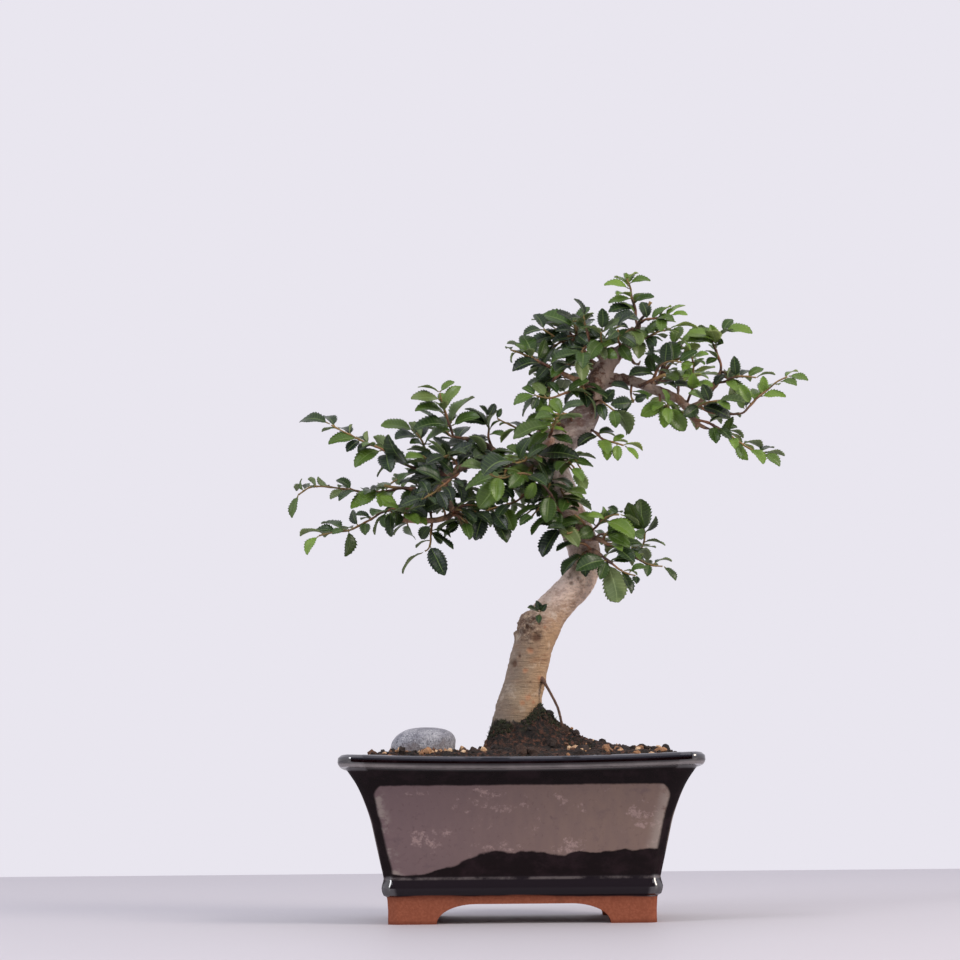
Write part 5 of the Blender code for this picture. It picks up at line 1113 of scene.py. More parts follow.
class Growth:
    """Places twigs and leaves so that none crosses what stands already."""

    def __init__(self):
        self.wood = node_tree("wood")
        self.solid = []
        for name in ("wood", "soil", "stone", "pot"):
            self.add(name, self.wood if name == "wood" else node_tree(name), Vector(ORIGIN), ANYWHERE)

    def add(self, name, tree, middle, radius):
        """One more solid to keep clear of, which lies within a radius of its middle."""
        self.solid.append((name, tree, middle, radius))

    def seated(self, places, radius):
        """True where the first stretch of a twig, and its end, clear the wood by the gap."""
        way = (places[1] - places[0]).normalized()
        side = way.orthogonal().normalized()
        other = way.cross(side)
        for share in (0.0, 0.1, 0.25, 0.5, 0.8):
            middle = places[0].lerp(places[1], share)
            for turn in range(8):
                angle = turn * math.pi / 4
                place = middle + (side * math.cos(angle) + other * math.sin(angle)) * radius
                hit, normal, _, distance = self.wood.find_nearest(place)
                if distance < GAP * MM or (place - hit).dot(normal) < 0:
                    return False
        return True

    def grow_twig(self, rows):
        """Fine rows of a twig from where it leaves the wood, and the coarse places of its solid."""
        fine = smooth(rows, FINE_STEP)
        step = round(TWIG_STEP / FINE_STEP)
        for first in range(len(fine) - SHORTEST_TWIG):
            kept = fine[first:]
            index = list(range(0, len(kept) - 1, step))
            if len(kept) - 1 - index[-1] < step // 2 and len(index) > 1:
                index.pop()
            index.append(len(kept) - 1)
            places = [Vector(p) for p in seen(kept[index])]
            if self.seated(places, TWIG_THICK * MM):
                break
        return kept, places

    def place(self, name, base, tip, up, strict):
        """The tip, after turning the leaf aside where it has to: as given, then the dodges in order.

        Where every way crosses something, a leaf that isn't strict may still cross its own shoot."""
        along = tip - base
        width = along.length * BLADE_WIDTH
        large = along.length >= LARGE_BLADE * MM
        reach = along.length * LEAF_REACH
        near = [(owner, tree) for owner, tree, heart, wide in self.solid
                if (heart - base).length < wide + reach]
        crossing = None
        for swing, pitch in DODGES:
            side = along.cross(up)
            if side.length < 1e-9:
                side = along.orthogonal()
            turned = rotate(rotate(along, up, math.radians(swing)), side, math.radians(pitch))
            longer = turned * (1 + CLEAR * MM / turned.length)
            skin = blade_plate(base, base + longer, up, width + 2 * CLEAR * MM, large,
                               (BLADE / 2 + CLEAR) * MM)
            outer = blade_plate(base + turned * OWN_SHARE, base + turned, up, width, large, BLADE / 2 * MM)
            if not any((outer if owner == name else skin).overlap(tree) for owner, tree in near):
                self.add(name, outer, base, reach)
                return base + turned
            if not (strict or crossing or any(skin.overlap(tree) for owner, tree in near if owner != name)):
                crossing = (base + turned, outer)
        if crossing is None:
            return None
        self.add(name, crossing[1], base, reach)
        return crossing[0]

    def settle(self, name, wanted, axis=None, strict=False):
        """The leaves of a list that find room, each moved to the twig's axis where one is given."""
        leaves = []
        for start, tip, up in wanted:
            base = on_axis(axis, start) if axis else start
            reached = self.place(name, base, tip, up, strict)
            if reached is not None:
                leaves.append((base, reached, up))
        return leaves


def near_row(rows, x, z):
    return rows[int(np.argmin((rows[:, 0] - x) ** 2 + (rows[:, 2] - z) ** 2))]


def on_axis(places, point):
    """The place nearest to a point on the straight pieces that a twig's solid is built of."""
    nearest = []
    for start, end in zip(places, places[1:]):
        run = end - start
        share = min(1.0, max(0.0, (point - start).dot(run) / run.length_squared))
        nearest.append(start + run * share)
    return min(nearest, key=lambda place: (place - point).length)


def to_front(leaf):
    """True for a leaf that points nearly straight to the tree's front."""
    start, tip, _ = leaf
    return start.y - tip.y > 0.7 * (tip - start).length


def ranked_leaves(kept, count, first, draw, bare, lengths):
    """Leaves by elm's two-ranked rule: alternate sides of the twig, evenly spaced, the last one along it."""
    out = []
    for i in range(count):
        share = first + (1 - first) * (i + 0.5) / count if count > 1 else 0.6
        at = min(len(kept) - 3, int(share * (len(kept) - 1)))
        base, ahead = (Vector(p) for p in seen(kept[[at, at + 2]]))
        way = (ahead - base).normalized()
        up = Vector((0, -0.25, 1)).normalized()
        across = way.cross(up).normalized() * (1 if i % 2 else -1)
        tilt = draw.uniform(-0.45, 0.35)
        last = i == count - 1 and bare
        angle = 0.15 if last else FILL_ANGLE + draw.uniform(-0.25, 0.25)
        aim = (way * math.cos(angle) + across * math.sin(angle)).normalized()
        aim = (aim + up * tilt).normalized()
        out.append((base, base + aim * draw.uniform(*lengths) * MM, up))
    return out


def grow(extra):
    """Every shoot's leaves as (base, tip, upper side), large ones first, and the growth they stand in."""
    growth = Growth()
    twigs = {}
    for name, (twig, _, _) in SHOOTS.items():
        kept, places = growth.grow_twig(twig)
        radii = np.linspace(TWIG_THICK, TWIG_THIN, len(places)) * MM
        points, faces = tube(np.array(places), radii, 4)
        growth.add(name, BVHTree.FromPolygons([Vector(p) for p in points], faces), places[0], ANYWHERE)
        twigs[name] = (kept, places)
    draw = random.Random(FILL_SEED)
    shoots = {}
    small = {}
    for name, (_, listed, fill) in SHOOTS.items():
        kept, axis = twigs[name]
        wanted = []
        small[name] = []
        for bx, bz, tx, tz, behind, code in listed:
            row = near_row(kept, bx, bz)
            group = small[name] if math.hypot(bx - tx, bz - tz, behind) < SMALLEST_BLADE else wanted
            group.append((vector_of(row), vector_of((tx, row[1] + behind, tz)), facing(code)))
        wanted += ranked_leaves(kept, fill, 0.22, draw, not listed, FILL_LENGTH)
        shoots[name] = growth.settle(name, wanted, axis)
    for name, (_, axis) in twigs.items():
        shoots[name] += growth.settle(name, small[name], axis)
    draw = random.Random(EXTRA_SEED)
    for name, (kept, axis) in twigs.items():
        count = round(extra * len(kept) * FINE_STEP / EXTRA_STEP)
        beside = ranked_leaves(kept, count, 0.1, draw, False, EXTRA_LENGTH)
        shoots[name] += growth.settle(name, [leaf for leaf in beside if not to_front(leaf)], axis, True)
    return shoots, growth


def thicket_twig(draw, wood, middle, half):
    """Rows of a thin twig from the nearest wood to a random place in a thicket, arched up by an eighth."""
    tip = np.array([m + draw.uniform(-h, h) for m, h in zip(middle, half)])
    start = wood[np.argmin(((wood[:, :3] - tip) ** 2).sum(axis=1))][:3]
    gap = np.linalg.norm(tip - start)
    bend = (start + tip) / 2 + np.array([draw.uniform(-0.12, 0.12), draw.uniform(-0.12, 0.12), 0.12]) * gap
    return smooth([start, bend, tip], FINE_STEP)


def grow_thickets(growth, share):
    """Inner twigs with small leaves, grown last into the room that the shoots leave."""
    draw = random.Random(THICKET_SEED)
    wood = np.vstack([smooth(points, 1.0) for points in (TRUNK, *LIMBS.values())])
    wood = wood[wood[:, 2] > THICKET_WOOD]
    thickets = {}
    for name, ((*sizes, twigs, count),) in THICKETS.items():
        thickets[name] = []
        for _ in range(round(twigs * share)):
            rows = thicket_twig(draw, wood, sizes[:3], sizes[3:])
            bare = min(0.6, 4.0 / (len(rows) * FINE_STEP))
            wanted = []
            for start, tip, up in ranked_leaves(rows, int(count), bare, draw, True, THICKET_LENGTH):
                tilt = Vector([draw.uniform(-0.5, 0.5) for _ in range(3)])
                up = (up + tilt + Vector((0, -0.3, 0))).normalized()
                wanted.append((start, tip, up))
            leaves = growth.settle(name, [leaf for leaf in wanted if not to_front(leaf)], strict=True)
            if leaves:
                thickets[name].append((rows, leaves))
    return thickets


# Leaves painted lighter or darker than the rest, partly painted light and shade and partly young and old
# leaves:
# x, z, radius of the spot, and youth and light, -1 dark to 1 bright
TONES = table("""
-94 167 8 1,-40 176 4 1,-46 177 4 0.7,-59 187 6 0.8,-10 192 4 0.5,-16 188 4 0.4,9 137 9 -0.9,-3 178 4 0.5,
-18 205 8 0.35,-34 237 9 0.55,-14 204 6 0.3,-95 224 9 0.05,-98 198 7 0.2,-102 186 6 0.5,-54 213 7 -0.9,
-60 206 6 -0.8,-22 212 9 -1,-8 179 6 -0.7,-33 178 5 -0.9,-28 184 6 -0.8,-37 161 8 -0.7,-30 196 12 -0.8,
-12 200 7 -0.5,50 287 10 0.7,45 276 6 0.6,73 273 8 0.7,67 228 11 0.7,49 210 10 0.9,103 238 6 0.6,
118 236 9 0.8,128 243 8 0.6,81 262 7 0.7,101 209 8 0.9,111 205 6 0.5,4 235 7 0.4,17 229 7 0.7,16 219 6 0.8,
-3 205 6 0.6,82 246 7 0.7,92 214 6 0.4,76 232 5 0.5,4 248 8 -0.8,49 270 6 -0.8,15 255 9 -0.6,48 234 6 -0.5,
39 229 5 -0.7,66 257 6 -0.8,99 250 6 -0.7,90 222 7 -0.5,28 262 7 -0.5,44 150 10 0,9 270 8 -0.5,29 253 6 -0.3,
33 158 6 -0.7,22 158 6 -0.6,55 180 7 0.35,70 156 8 0.2,33 179 7 0.7,30 168 6 0.6,45 168 7 0.4,28 191 6 0.5
""")
# Teeth on each side of a leaf and their share of its width, for leaves over and under a length in millimetres
MANY_TEETH = (10, 0.22)
FEW_TEETH = (8, 0.28)
LONG_LEAF = 13.0
ROUND_BASE = 0.62
POINTED_TIP = 0.64
LEAF_COLUMNS = np.array([-1.0, -0.68, -0.34, 0.0, 0.34, 0.68, 1.0])
# A leaf's own shape, as lowest and highest share of its length: arch, fold, width, and sway to one side
ARCH = (0.05, 0.15)
FOLD = (0.16, 0.42)
WIDTH = (0.48, 0.6)
SWAY = (-0.05, 0.05)
# Stalk: share of the length, first station, and half width and thickness beside the blade's in millimetres
STALK = 0.13
STALK_START = -0.16
STALK_HALF = 0.3
STALK_THICK = 0.5
LEAF_THICK = 0.26
THINNEST = 0.12
UNDERSIDE = 2.0
TWIG_SIDES = 7


def leaf_rows(teeth):
    """Stations along a leaf: two for each tooth, in the notch and near its point, after two on the stalk."""
    steps = [(k + part) / teeth for k in range(teeth) for part in (0.02, 0.86)]
    return np.array([STALK_START, -0.05] + steps + [1.0])


def leaf_outline(t, teeth, deep):
    """Half width from 0 to 1: t^a (1 - t)^b, scaled to reach 1, with teeth that slope forward. Here a is the
    round base and b the pointed tip."""
    inside = np.clip(t, 0.0, 1.0)
    peak = ROUND_BASE / (ROUND_BASE + POINTED_TIP)
    body = (inside / peak) ** ROUND_BASE * ((1 - inside) / (1 - peak)) ** POINTED_TIP
    tooth = np.mod(inside * teeth + 1e-6, 1.0) - 0.5
    return body * (1 + deep * tooth)


def grid_of(index):
    """Faces between the rows and columns of a table of point numbers."""
    return np.stack([index[:-1, :-1], index[:-1, 1:], index[1:, 1:], index[1:, :-1]], axis=-1).reshape(-1, 4)


def leaf_sheets(leaves, seed, broad, teeth, deep):
    """Points, faces, UV, and youth and light, chance and teeth at each point, of many closed leaves.

    The middle line arches above the chord by 4 t (1 - t), the halves fold up in a V and curl down towards the
    edge, rows slant along the side veins, and the underside lies a thickness below and shares the rim."""
    draw = np.random.default_rng(seed)
    t = leaf_rows(teeth)[None, :, None, None]
    v = LEAF_COLUMNS[None, None, :, None]
    count = len(leaves)
    base, tip, up = (np.array([tuple(leaf[i]) for leaf in leaves])[:, None, None] for i in range(3))
    chord = tip - base
    length = np.linalg.norm(chord, axis=-1, keepdims=True)
    along = chord / length
    upper = unit(up - along * (up * along).sum(axis=-1, keepdims=True))
    side = np.cross(along, upper)
    bend, fold, wide, sway = (draw.uniform(low, high, (count, 1, 1, 1))
                              for low, high in (ARCH, FOLD, WIDTH, SWAY))
    wide = wide * broad
    share = np.maximum(STALK + (1 - STALK) * (t - 0.075 * (1 - np.abs(v)) * 4 * t * (1 - t)), 0.0)
    share = np.where(t < 0, STALK + t * STALK / -STALK_START, share)
    lean = 1 + 0.07 * np.sign(v) * (1 - t)
    half = np.where(t < 0, STALK_HALF * MM, leaf_outline(t, teeth, deep) * wide / 2 * length * lean)
    half = np.maximum(half, THINNEST * MM)
    out = half * v
    curl = -0.55 * fold * half * v**2
    across = np.sin(np.pi * np.clip(np.abs(v), 0, 1)) * (t > 0)
    vein = 0.16 * MM * np.cos(2 * np.pi * (t * teeth - 0.4)) * across
    wave = 0.018 * length * np.sin(2 * np.pi * (1.6 * t + draw.uniform(0, 1, (count, 1, 1, 1)))) * v
    lift = length * bend * 4 * share * (1 - share) + np.abs(out) * fold * 1.5 + curl + vein + wave * (t > 0)
    slide = sway * length * np.sin(np.pi * np.clip(share, 0, 1))
    top = base + along * length * share + side * (out + slide) + upper * lift
    low = top - upper * (np.where(t < 0, STALK_THICK, LEAF_THICK) * MM * (1 - np.abs(v) ** 6))
    rows, columns = top.shape[1:3]
    number = np.arange(rows * columns).reshape(rows, columns)
    inner = np.zeros((rows, columns), dtype=bool)
    inner[1:-1, 1:-1] = True
    low_number = number.copy()
    low_number[inner] = rows * columns + np.arange(inner.sum())
    per_leaf = rows * columns + int(inner.sum())
    points = np.concatenate([top.reshape(count, -1, 3), low[:, inner]], axis=1).reshape(-1, 3)
    u_of, v_of = np.repeat(leaf_rows(teeth), columns), np.tile(LEAF_COLUMNS, rows)
    face = np.vstack([grid_of(number), grid_of(low_number)[:, ::-1]])
    source = np.vstack([grid_of(number), grid_of(number)[:, ::-1]])
    under = np.repeat([0.0, UNDERSIDE], len(face) // 2)[:, None]
    corner = np.stack([u_of[source] + under, v_of[source]], axis=-1)
    uv = np.tile(corner.reshape(-1, 2), (count, 1))
    x, z = shown((base + chord * 0.6)[:, 0, 0])
    # Youth and light: random, lighter towards the right, then pulled to the TONES spots of painted light,
    # shade and age
    youth = draw.normal(-0.1, 0.38, count) + 0.22 * np.clip((x - 10) / 80, -1, 1)
    for sx, sz, spread, tone in TONES:
        near = np.exp(-(((x - sx) ** 2 + (z - sz) ** 2) / spread**2) ** 2)
        youth = youth * (1 - 0.7 * near) + tone * near
    chance = draw.uniform(0, 1, count)
    faces = copies(face, count, per_leaf)
    youth, chance = np.repeat(youth, per_leaf), np.repeat(chance, per_leaf)
    return points, faces, uv, youth, chance, np.full(len(points), teeth)


def twig_tube(rows, seed, bases):
    """Points, faces and share of the way to the tip at each point, of one twig: it thins to its tip, steps a
    little from side to side and swells at each leaf."""
    fine = rows[::3] if len(rows) > 12 else rows
    places = seen(fine)
    side, _ = sides_along(places)
    draw = np.random.default_rng(seed)
    share = np.linspace(0, 1, len(places))
    radii = (fine[:, 3] if fine.shape[1] > 3 else 0.66 - 0.34 * share) * MM
    run = np.concatenate([[0], np.cumsum(np.linalg.norm(np.diff(places, axis=0), axis=1))]) / MM
    sway = 0.24 * np.sin(run / 5.4 * np.pi + draw.uniform(0, 6)) * np.minimum(1, run / 6)
    places = places + side * (sway * MM)[:, None]
    if len(bases):
        gaps = np.linalg.norm(places[:, None] - bases[None], axis=2).min(axis=1) / MM
        radii = radii * (1 + 0.45 * np.exp(-(gaps / 0.9) ** 2))
    return *tube(places, radii, TWIG_SIDES), np.concatenate([np.repeat(share, TWIG_SIDES), [0.0, 1.0]])


def bases_of(leaves):
    return np.array([tuple(leaf[0]) for leaf in leaves])


def foliage_mesh(name, leaves, twigs, finishes, seed, broad):
    """One mesh of closed leaves and of twigs, each twig as (rows, places where its leaves sit)."""
    short = [leaf for leaf in leaves if (leaf[1] - leaf[0]).length < LONG_LEAF * MM]
    long = [leaf for leaf in leaves if (leaf[1] - leaf[0]).length >= LONG_LEAF * MM]
    sheets = [leaf_sheets(some, seed + teeth[0], broad, *teeth)
              for some, teeth in ((short, FEW_TEETH), (long, MANY_TEETH)) if some]
    stems = [twig_tube(rows, seed + i, bases) for i, (rows, bases) in enumerate(twigs)]
    points, faces = gather([(sheet[0], sheet[1].tolist()) for sheet in sheets] + [stem[:2] for stem in stems])
    uv, youth, chance, toothed = (np.concatenate([sheet[i] for sheet in sheets]) for i in (2, 3, 4, 5))
    blades = len(uv) // 4
    stem_points = np.zeros(len(points) - len(youth))
    corners = sum(len(face) for face in faces[blades:])
    return put_mesh(name, points, faces, finishes, "leaf",
                    {"youth": np.concatenate([youth] + [stem[2] for stem in stems]),
                     "chance": np.concatenate([chance, stem_points]),
                     "teeth": np.concatenate([toothed, stem_points])},
                    [0] * blades + [1] * (len(faces) - blades), np.vstack([uv, np.zeros((corners, 2))]))


def build_foliage(leaf, twig, extra, broad, inner):
    """A leafy piece for each shoot in place of its solid, then the burl's leaves and the inner thickets."""
    shoots, growth = grow(extra)
    finishes = [leaf, twig]
    for number, (name, leaves) in enumerate(shoots.items()):
        stems = [(smooth(SHOOTS[name][0], FINE_STEP), bases_of(leaves))]
        piece = foliage_mesh("leaves_" + name, leaves, stems, finishes, 100 + number, broad)
        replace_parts(piece, "shoot_" + name)
    bits = [(vector_of(row[:3]), vector_of(row[3:6]), facing(row[6])) for row in BURL_LEAVES]
    stems = [(smooth(rows, FINE_STEP), ()) for rows in SPURS]
    foliage_mesh("burl_leaves_and_spurs", bits, stems, finishes, 480, broad)
    for number, (name, twigs) in enumerate(grow_thickets(growth, inner).items()):
        leaves = [one for _, some in twigs for one in some]
        stems = [(rows, bases_of(some)) for rows, some in twigs]
        if leaves:
            foliage_mesh("thicket_" + name, leaves, stems, finishes, 500 + 20 * number, broad)


# Finishes. A colour in whole numbers is a display colour, 0 to 255, and heights are in millimetres.
def glaze_finish(p):
    """Near-black gloss glaze that pools in waves above a bare clay foot.

    The front wall carries a painted reflection of the bright surroundings in front: a mottled mauve-grey panel
    with round corners and a wavy lower edge, the other walls half of it. On the lip's roll a painted pale
    reflection line follows the lip's sag, under a painted dark band and a painted pale top, and the moulding
    is painted blue-black as a dark reflection, with a painted highlight along its top edge."""
    net = Net("dark_glaze")
    x, y, z = (net.along(letter) for letter in "XYZ")
    blotch = net.speckle(75, 6, 0.66, (1, 1, 1.3))
    fleck = net.speckle(520, 4, 0.7)
    streak = net.speckle(300, stretch=(1, 1, 0.22))
    grain = net.speckle(900, 4)
    ragged = (net.speckle(110, 4) - 0.5) * 9
    wander = (net.speckle(52, 2) - 0.5) * 9
    glazed = (z + (net.speckle(28, 2) - 0.5) * 4).step(11.4, 12.3)
    edge_x = x.size() - z * 0.22
    edge_y = y.size() - z * 0.22
    above = (z - 54.5).most(0)
    corner = above * above * 0.16
    # Painted reflection: a panel full on the front wall and half on the others, with round corners and a wavy
    # lower edge
    across = (edge_x + ragged * 0.22 + corner).step(51.6, 50.2)
    along = (edge_y + ragged * 0.22 + corner).step(33.6, 32.2)
    low = x.step(-50, -12) * 9.5 + 21
    front = y.step(-26, -36) * 0.5 + 0.5
    reflected_panel = (across * front).most(along * 0.5) * (z + ragged * 0.14).step(59.6, 58.6)
    reflected_panel = reflected_panel * (z - low + ragged * 0.4 + wander).step(-0.4, 0.7)
    # Tones of the painted reflection: greyer to the left, warmer to the right, mottled, streaked, flecked and
    # lighter near the side edges
    mauve = net.coats(
        net.blend(x.step(-62, 50), p.wall_reflection, (126, 106, 98)),
        (streak.step(0.35, 0.65) * 0.22, (104, 88, 90)),
        (blotch.step(0.56, 0.64) * fleck.step(0.42, 0.58) * 0.6, (172, 148, 144)),
        (fleck.step(0.56, 0.7) * 0.3, (84, 66, 66)),
        (blotch.step(0.4, 0.3) * 0.4, (96, 80, 84)),
        ((edge_x + ragged * 0.3).step(45, 50) * blotch.step(0.42, 0.52) * 0.5, (166, 156, 148)))
    sag = (x * x * (-1 / RIM_X**2) + y * y * (-1 / RIM_Y**2) + 2) * LIP_SAG
    lip = z + sag * z.step(60, 66)
    # Painted pale reflection line low on the lip's roll
    line = lip.step(67.3, 67.9) * lip.step(69.6, 68.4)
    # Painted highlight along the top edge of the moulding
    moulding_highlight = z.step(18.6, 19.3) * z.step(20.4, 19.7)
    body = net.coats(
        p.glaze,
        (blotch.step(0.46, 0.66) * 0.8, (36, 23, 27)),
        # Below 20 mm the moulding is painted blue-black as a painted dark reflection
        (z.step(21, 19), (34, 29, 34)),
        (reflected_panel, mauve),
        (line * (blotch * 0.8 + 0.05), p.lip_reflection),
        # Painted reflections on the lip: a dark band above the pale line, then a pale top
        (lip.step(70.6, 71.4), (44, 44, 52)),
        (lip.step(72.2, 72.8) * blotch, (118, 118, 126)),
        (moulding_highlight * blotch.step(0.4, 0.6) * 0.6, (112, 104, 104)))
    clay = net.coats(
        p.clay,
        (grain.step(0.35, 0.7) * 0.4, (160, 98, 76)),
        (net.speckle(90).step(0.58, 0.72) * 0.35, (104, 62, 48)),
        (z.step(2, 0.4) * 0.5, (88, 44, 34)))
    turned = edge_x.step(50.5, 52.5) * edge_y.step(34, 36)
    bands = z.step(21, 20).most(lip.step(66, 67))
    gloss = (turned * bands * 0.9).most(lip.step(66.5, 67.5) * 0.36) + 0.1
    relief = net.bump(grain * (1 - glazed) * 0.5 + blotch * glazed * 0.12, 0.0004, 0.5)
    return net.finish(Base_Color=net.blend(glazed, clay, body), Roughness=glazed * (reflected_panel * 0.1 - 0.7) + 0.78,
                      Coat_Weight=glazed * gloss, Coat_Roughness=0.03, Coat_IOR=2, Specular_IOR_Level=0,
                      Normal=relief)


def earth_finish(p):
    """Damp, nearly black earth with red-brown crumbs, few pale ones, pits painted near black as painted shade,
    and dark green patches on the mound.
    """
    net = Net("earth")
    crumb = net.speckle(520, 5, 0.7)
    pit = net.speckle(300, 4, 0.65)
    tone = net.coats(
        net.blend(crumb.step(0.44, 0.62), (16, 11, 9), p.earth),
        (crumb.step(0.64, 0.74) * 0.7, (138, 92, 66)),
        # Painted shade: the pits, low in the relief, painted near black
        (pit.step(0.5, 0.4) * 0.85, (14, 10, 9)),
        (net.speckle(130).step(0.46, 0.62) * 0.7, (19, 15, 12)),
        (net.speckle(190).step(0.5, 0.6) * net.along("Z").step(79, 86) * 0.6, (38, 42, 20)))
    return net.finish(Base_Color=tone, Roughness=0.93, Normal=net.bump(crumb + pit * 0.6, 0.0016))


def grit_finish():
    """Grains from near black through brown to pale tan, each in its own tone."""
    net = Net("grit")
    fine = net.speckle(1500)
    tone = net.ramp(net.number("tone") + (fine - 0.5) * 0.35, (0, (26, 21, 20)), (0.38, (48, 34, 28)),
                    (0.62, (98, 66, 48)), (0.8, (168, 124, 88)), (1, (214, 184, 150)))
    return net.finish(Base_Color=tone, Roughness=0.85, Normal=net.bump(fine, 0.0004, 0.8))


def moss_finish(p):
    """Dark moss, a little lighter at the tips of its stems, olive in patches."""
    net = Net("moss")
    tone = net.blend(net.number("share"), (14, 16, 9), p.moss)
    tone = net.blend(net.speckle(160, 2).step(0.48, 0.62) * 0.7, tone, (30, 25, 15))
    return net.finish(Base_Color=tone, Roughness=0.85)


def stone_finish(p):
    """Blue-grey stone with soft mottles, dense dark grain, pale specks and a brown stain near the earth."""
    net = Net("river_stone_grey")
    soft = net.speckle(150, 5, 0.62)
    fine = net.speckle(1500, 5, 0.75)
    coarse = net.speckle(560, 4, 0.7)
    left = net.along("X").step(-55, -68)
    tone = net.coats(
        p.stone,
        (soft.step(0.38, 0.62), (168, 168, 176)),
        (fine.step(0.5, 0.6) * 0.8, (68, 70, 80)),
        (coarse.step(0.53, 0.62) * 0.65, (84, 86, 96)),
        (net.cells(700).step(0.24, 0.12) * fine.step(0.42, 0.5) * 0.9, (206, 206, 210)),
        ((net.along("Z") + (soft - 0.5) * 16 - left * 3).step(79, 73) * 0.55, (112, 92, 80)))
    relief = net.bump(fine + coarse, 0.0003, 0.7)
    return net.finish(Base_Color=tone, Roughness=fine * 0.25 + 0.5, Normal=relief)


def bark_finish(p):
    """Smooth young bark, pinkish grey above with brown patches and darker brown in the crown. Low on the trunk
    its right side is painted tan with warm light and its left side painted grey with shade; a painted pool of
    warm light lies on the bend, and the right limbs in the crown carry painted grey highlights. Fine dark
    rings cross it, more on the painted lit side, the burl is rough and brown, and damp earth clings to its
    foot."""
    net = Net("elm_bark")
    x, z = net.along("X"), net.along("Z")
    turn, burl, tan, scar = (net.number(label) for label in ("turn", "rough", "tan", "scar"))
    soft = net.speckle(95) - 0.5
    patch = net.speckle(210, 5, 0.62, (1, 1, 0.7))
    fine = net.speckle(1100, 4, 0.7)
    rings = net.speckle(430, 4, 0.62, (0.3, 0.3, 2.6))
    broad_rings = net.speckle(190, 4, 0.6, (0.35, 0.35, 1.8))
    crinkle = net.speckle(620, 4, 0.7, (0.8, 0.8, 1.5))
    knurl = net.speckle(380, 5, 0.7)
    clod = net.speckle(260, 5, 0.7)
    tone = net.ramp((z + soft * 22 - 80) * (1 / 200),
                    (0, (116, 98, 80)), (0.1, (146, 126, 104)), (0.24, p.bark_low), (0.31, (212, 188, 174)),
                    (0.4, (212, 192, 186)), (0.47, (140, 112, 102)), (0.56, p.bark_high),
                    (0.7, (176, 158, 152)), (0.76, (96, 66, 56)), (1, (76, 50, 42)))
    # Painted warm light on the right side of the lower trunk and painted shade on its left, by the way each
    # point faces
    painted_warm_light = (turn + soft * 1.2).step(-0.15, 0.75)
    shade = (turn + soft).step(-0.05, -0.85)
    # Painted pool of warm light on the right of the trunk's bend
    bend = (x + soft * 8).step(18, 29) * z.step(129, 142) * z.step(172, 158)
    ringed = z.step(160, 136) * 0.2 + 0.16
    above = z.step(124, 138)
    crown = z.step(226, 236)
    upper = crown * patch.step(0.4, 0.56)
    slim = net.coats(
        net.blend(patch.step(0.4, 0.6), (84, 62, 49), (158, 122, 94)),
        (z.step(116, 106) * 0.8, (66, 36, 28)),
        (fine.step(0.55, 0.68) * (z.step(108, 120) * 0.25 + 0.15), (176, 140, 118)))
    soil = net.coats(
        net.blend(clod.step(0.4, 0.6), (20, 16, 13), (62, 44, 34)),
        (net.speckle(170).step(0.48, 0.58) * 0.8, (34, 38, 18)))
    stout = net.number("stout")
    line = x.step(3, 8.5) * 6 + 87 + x.step(0, -9)
    damp = (z - line + (clod - 0.5) * 7).step(0.7, -0.7) * stout.step(0.3, 0.8)
    tone = net.coats(
        tone,
        (painted_warm_light * z.step(170, 135) * 0.6, (188, 150, 112)),
        (shade * z.step(165, 130) * 0.6, (112, 100, 92)),
        (bend * 0.7, (240, 210, 188)),
        ((patch.step(0.52, 0.64) * (z.step(130, 158) * 0.45 + 0.15)).clip(), (116, 80, 66)),
        (patch.step(0.44, 0.34) * (z.step(110, 150) * 0.35 + 0.2), (210, 196, 182)),
        (rings.step(0.5, 0.66) * ringed * patch.step(0.36, 0.56), (112, 88, 70)),
        # The broad rings show more on the side with painted warm light
        (broad_rings.step(0.55, 0.68) * ringed * (painted_warm_light * 0.9 + 0.5), (132, 90, 60)),
        (fine.step(0.56, 0.7) * 0.4, (88, 68, 56)),
        (crinkle.step(0.52, 0.62) * above * 0.38, (120, 90, 78)),
        (crinkle.step(0.46, 0.38) * above * 0.35, (222, 208, 200)),
        (burl * patch.step(0.4, 0.52) * 0.7, (116, 90, 72)),
        (burl * fine.step(0.5, 0.6) * 0.5, (70, 50, 38)),
        (burl * knurl.step(0.53, 0.63) * 0.7, (206, 182, 158)),
        (burl * knurl.step(0.45, 0.36) * 0.7, (74, 50, 36)),
        (tan * 0.65, (172, 112, 76)),
        (upper * 0.75, (84, 54, 44)),
        (upper * fine.step(0.5, 0.6) * 0.6, (168, 136, 120)),
        # Painted grey highlights on the right limbs in the crown
        (crown * x.step(30, 38) * patch.step(0.56, 0.48) * 0.85, (166, 146, 136)),
        (stout.step(0.26, 0.1) * 0.9, slim),
        (scar.step(0.25, 0.85) * 0.85, (84, 54, 36)),
        (damp, soil))
    height = (rings * 0.9 + broad_rings * 0.7 + patch * 0.5 + fine * 0.35 + crinkle * above * 0.8
              + burl * knurl * 2 + damp * clod * 2)
    return net.finish(Base_Color=tone, Roughness=fine * 0.2 + 0.68, Normal=net.bump(height, 0.0008, 0.8))


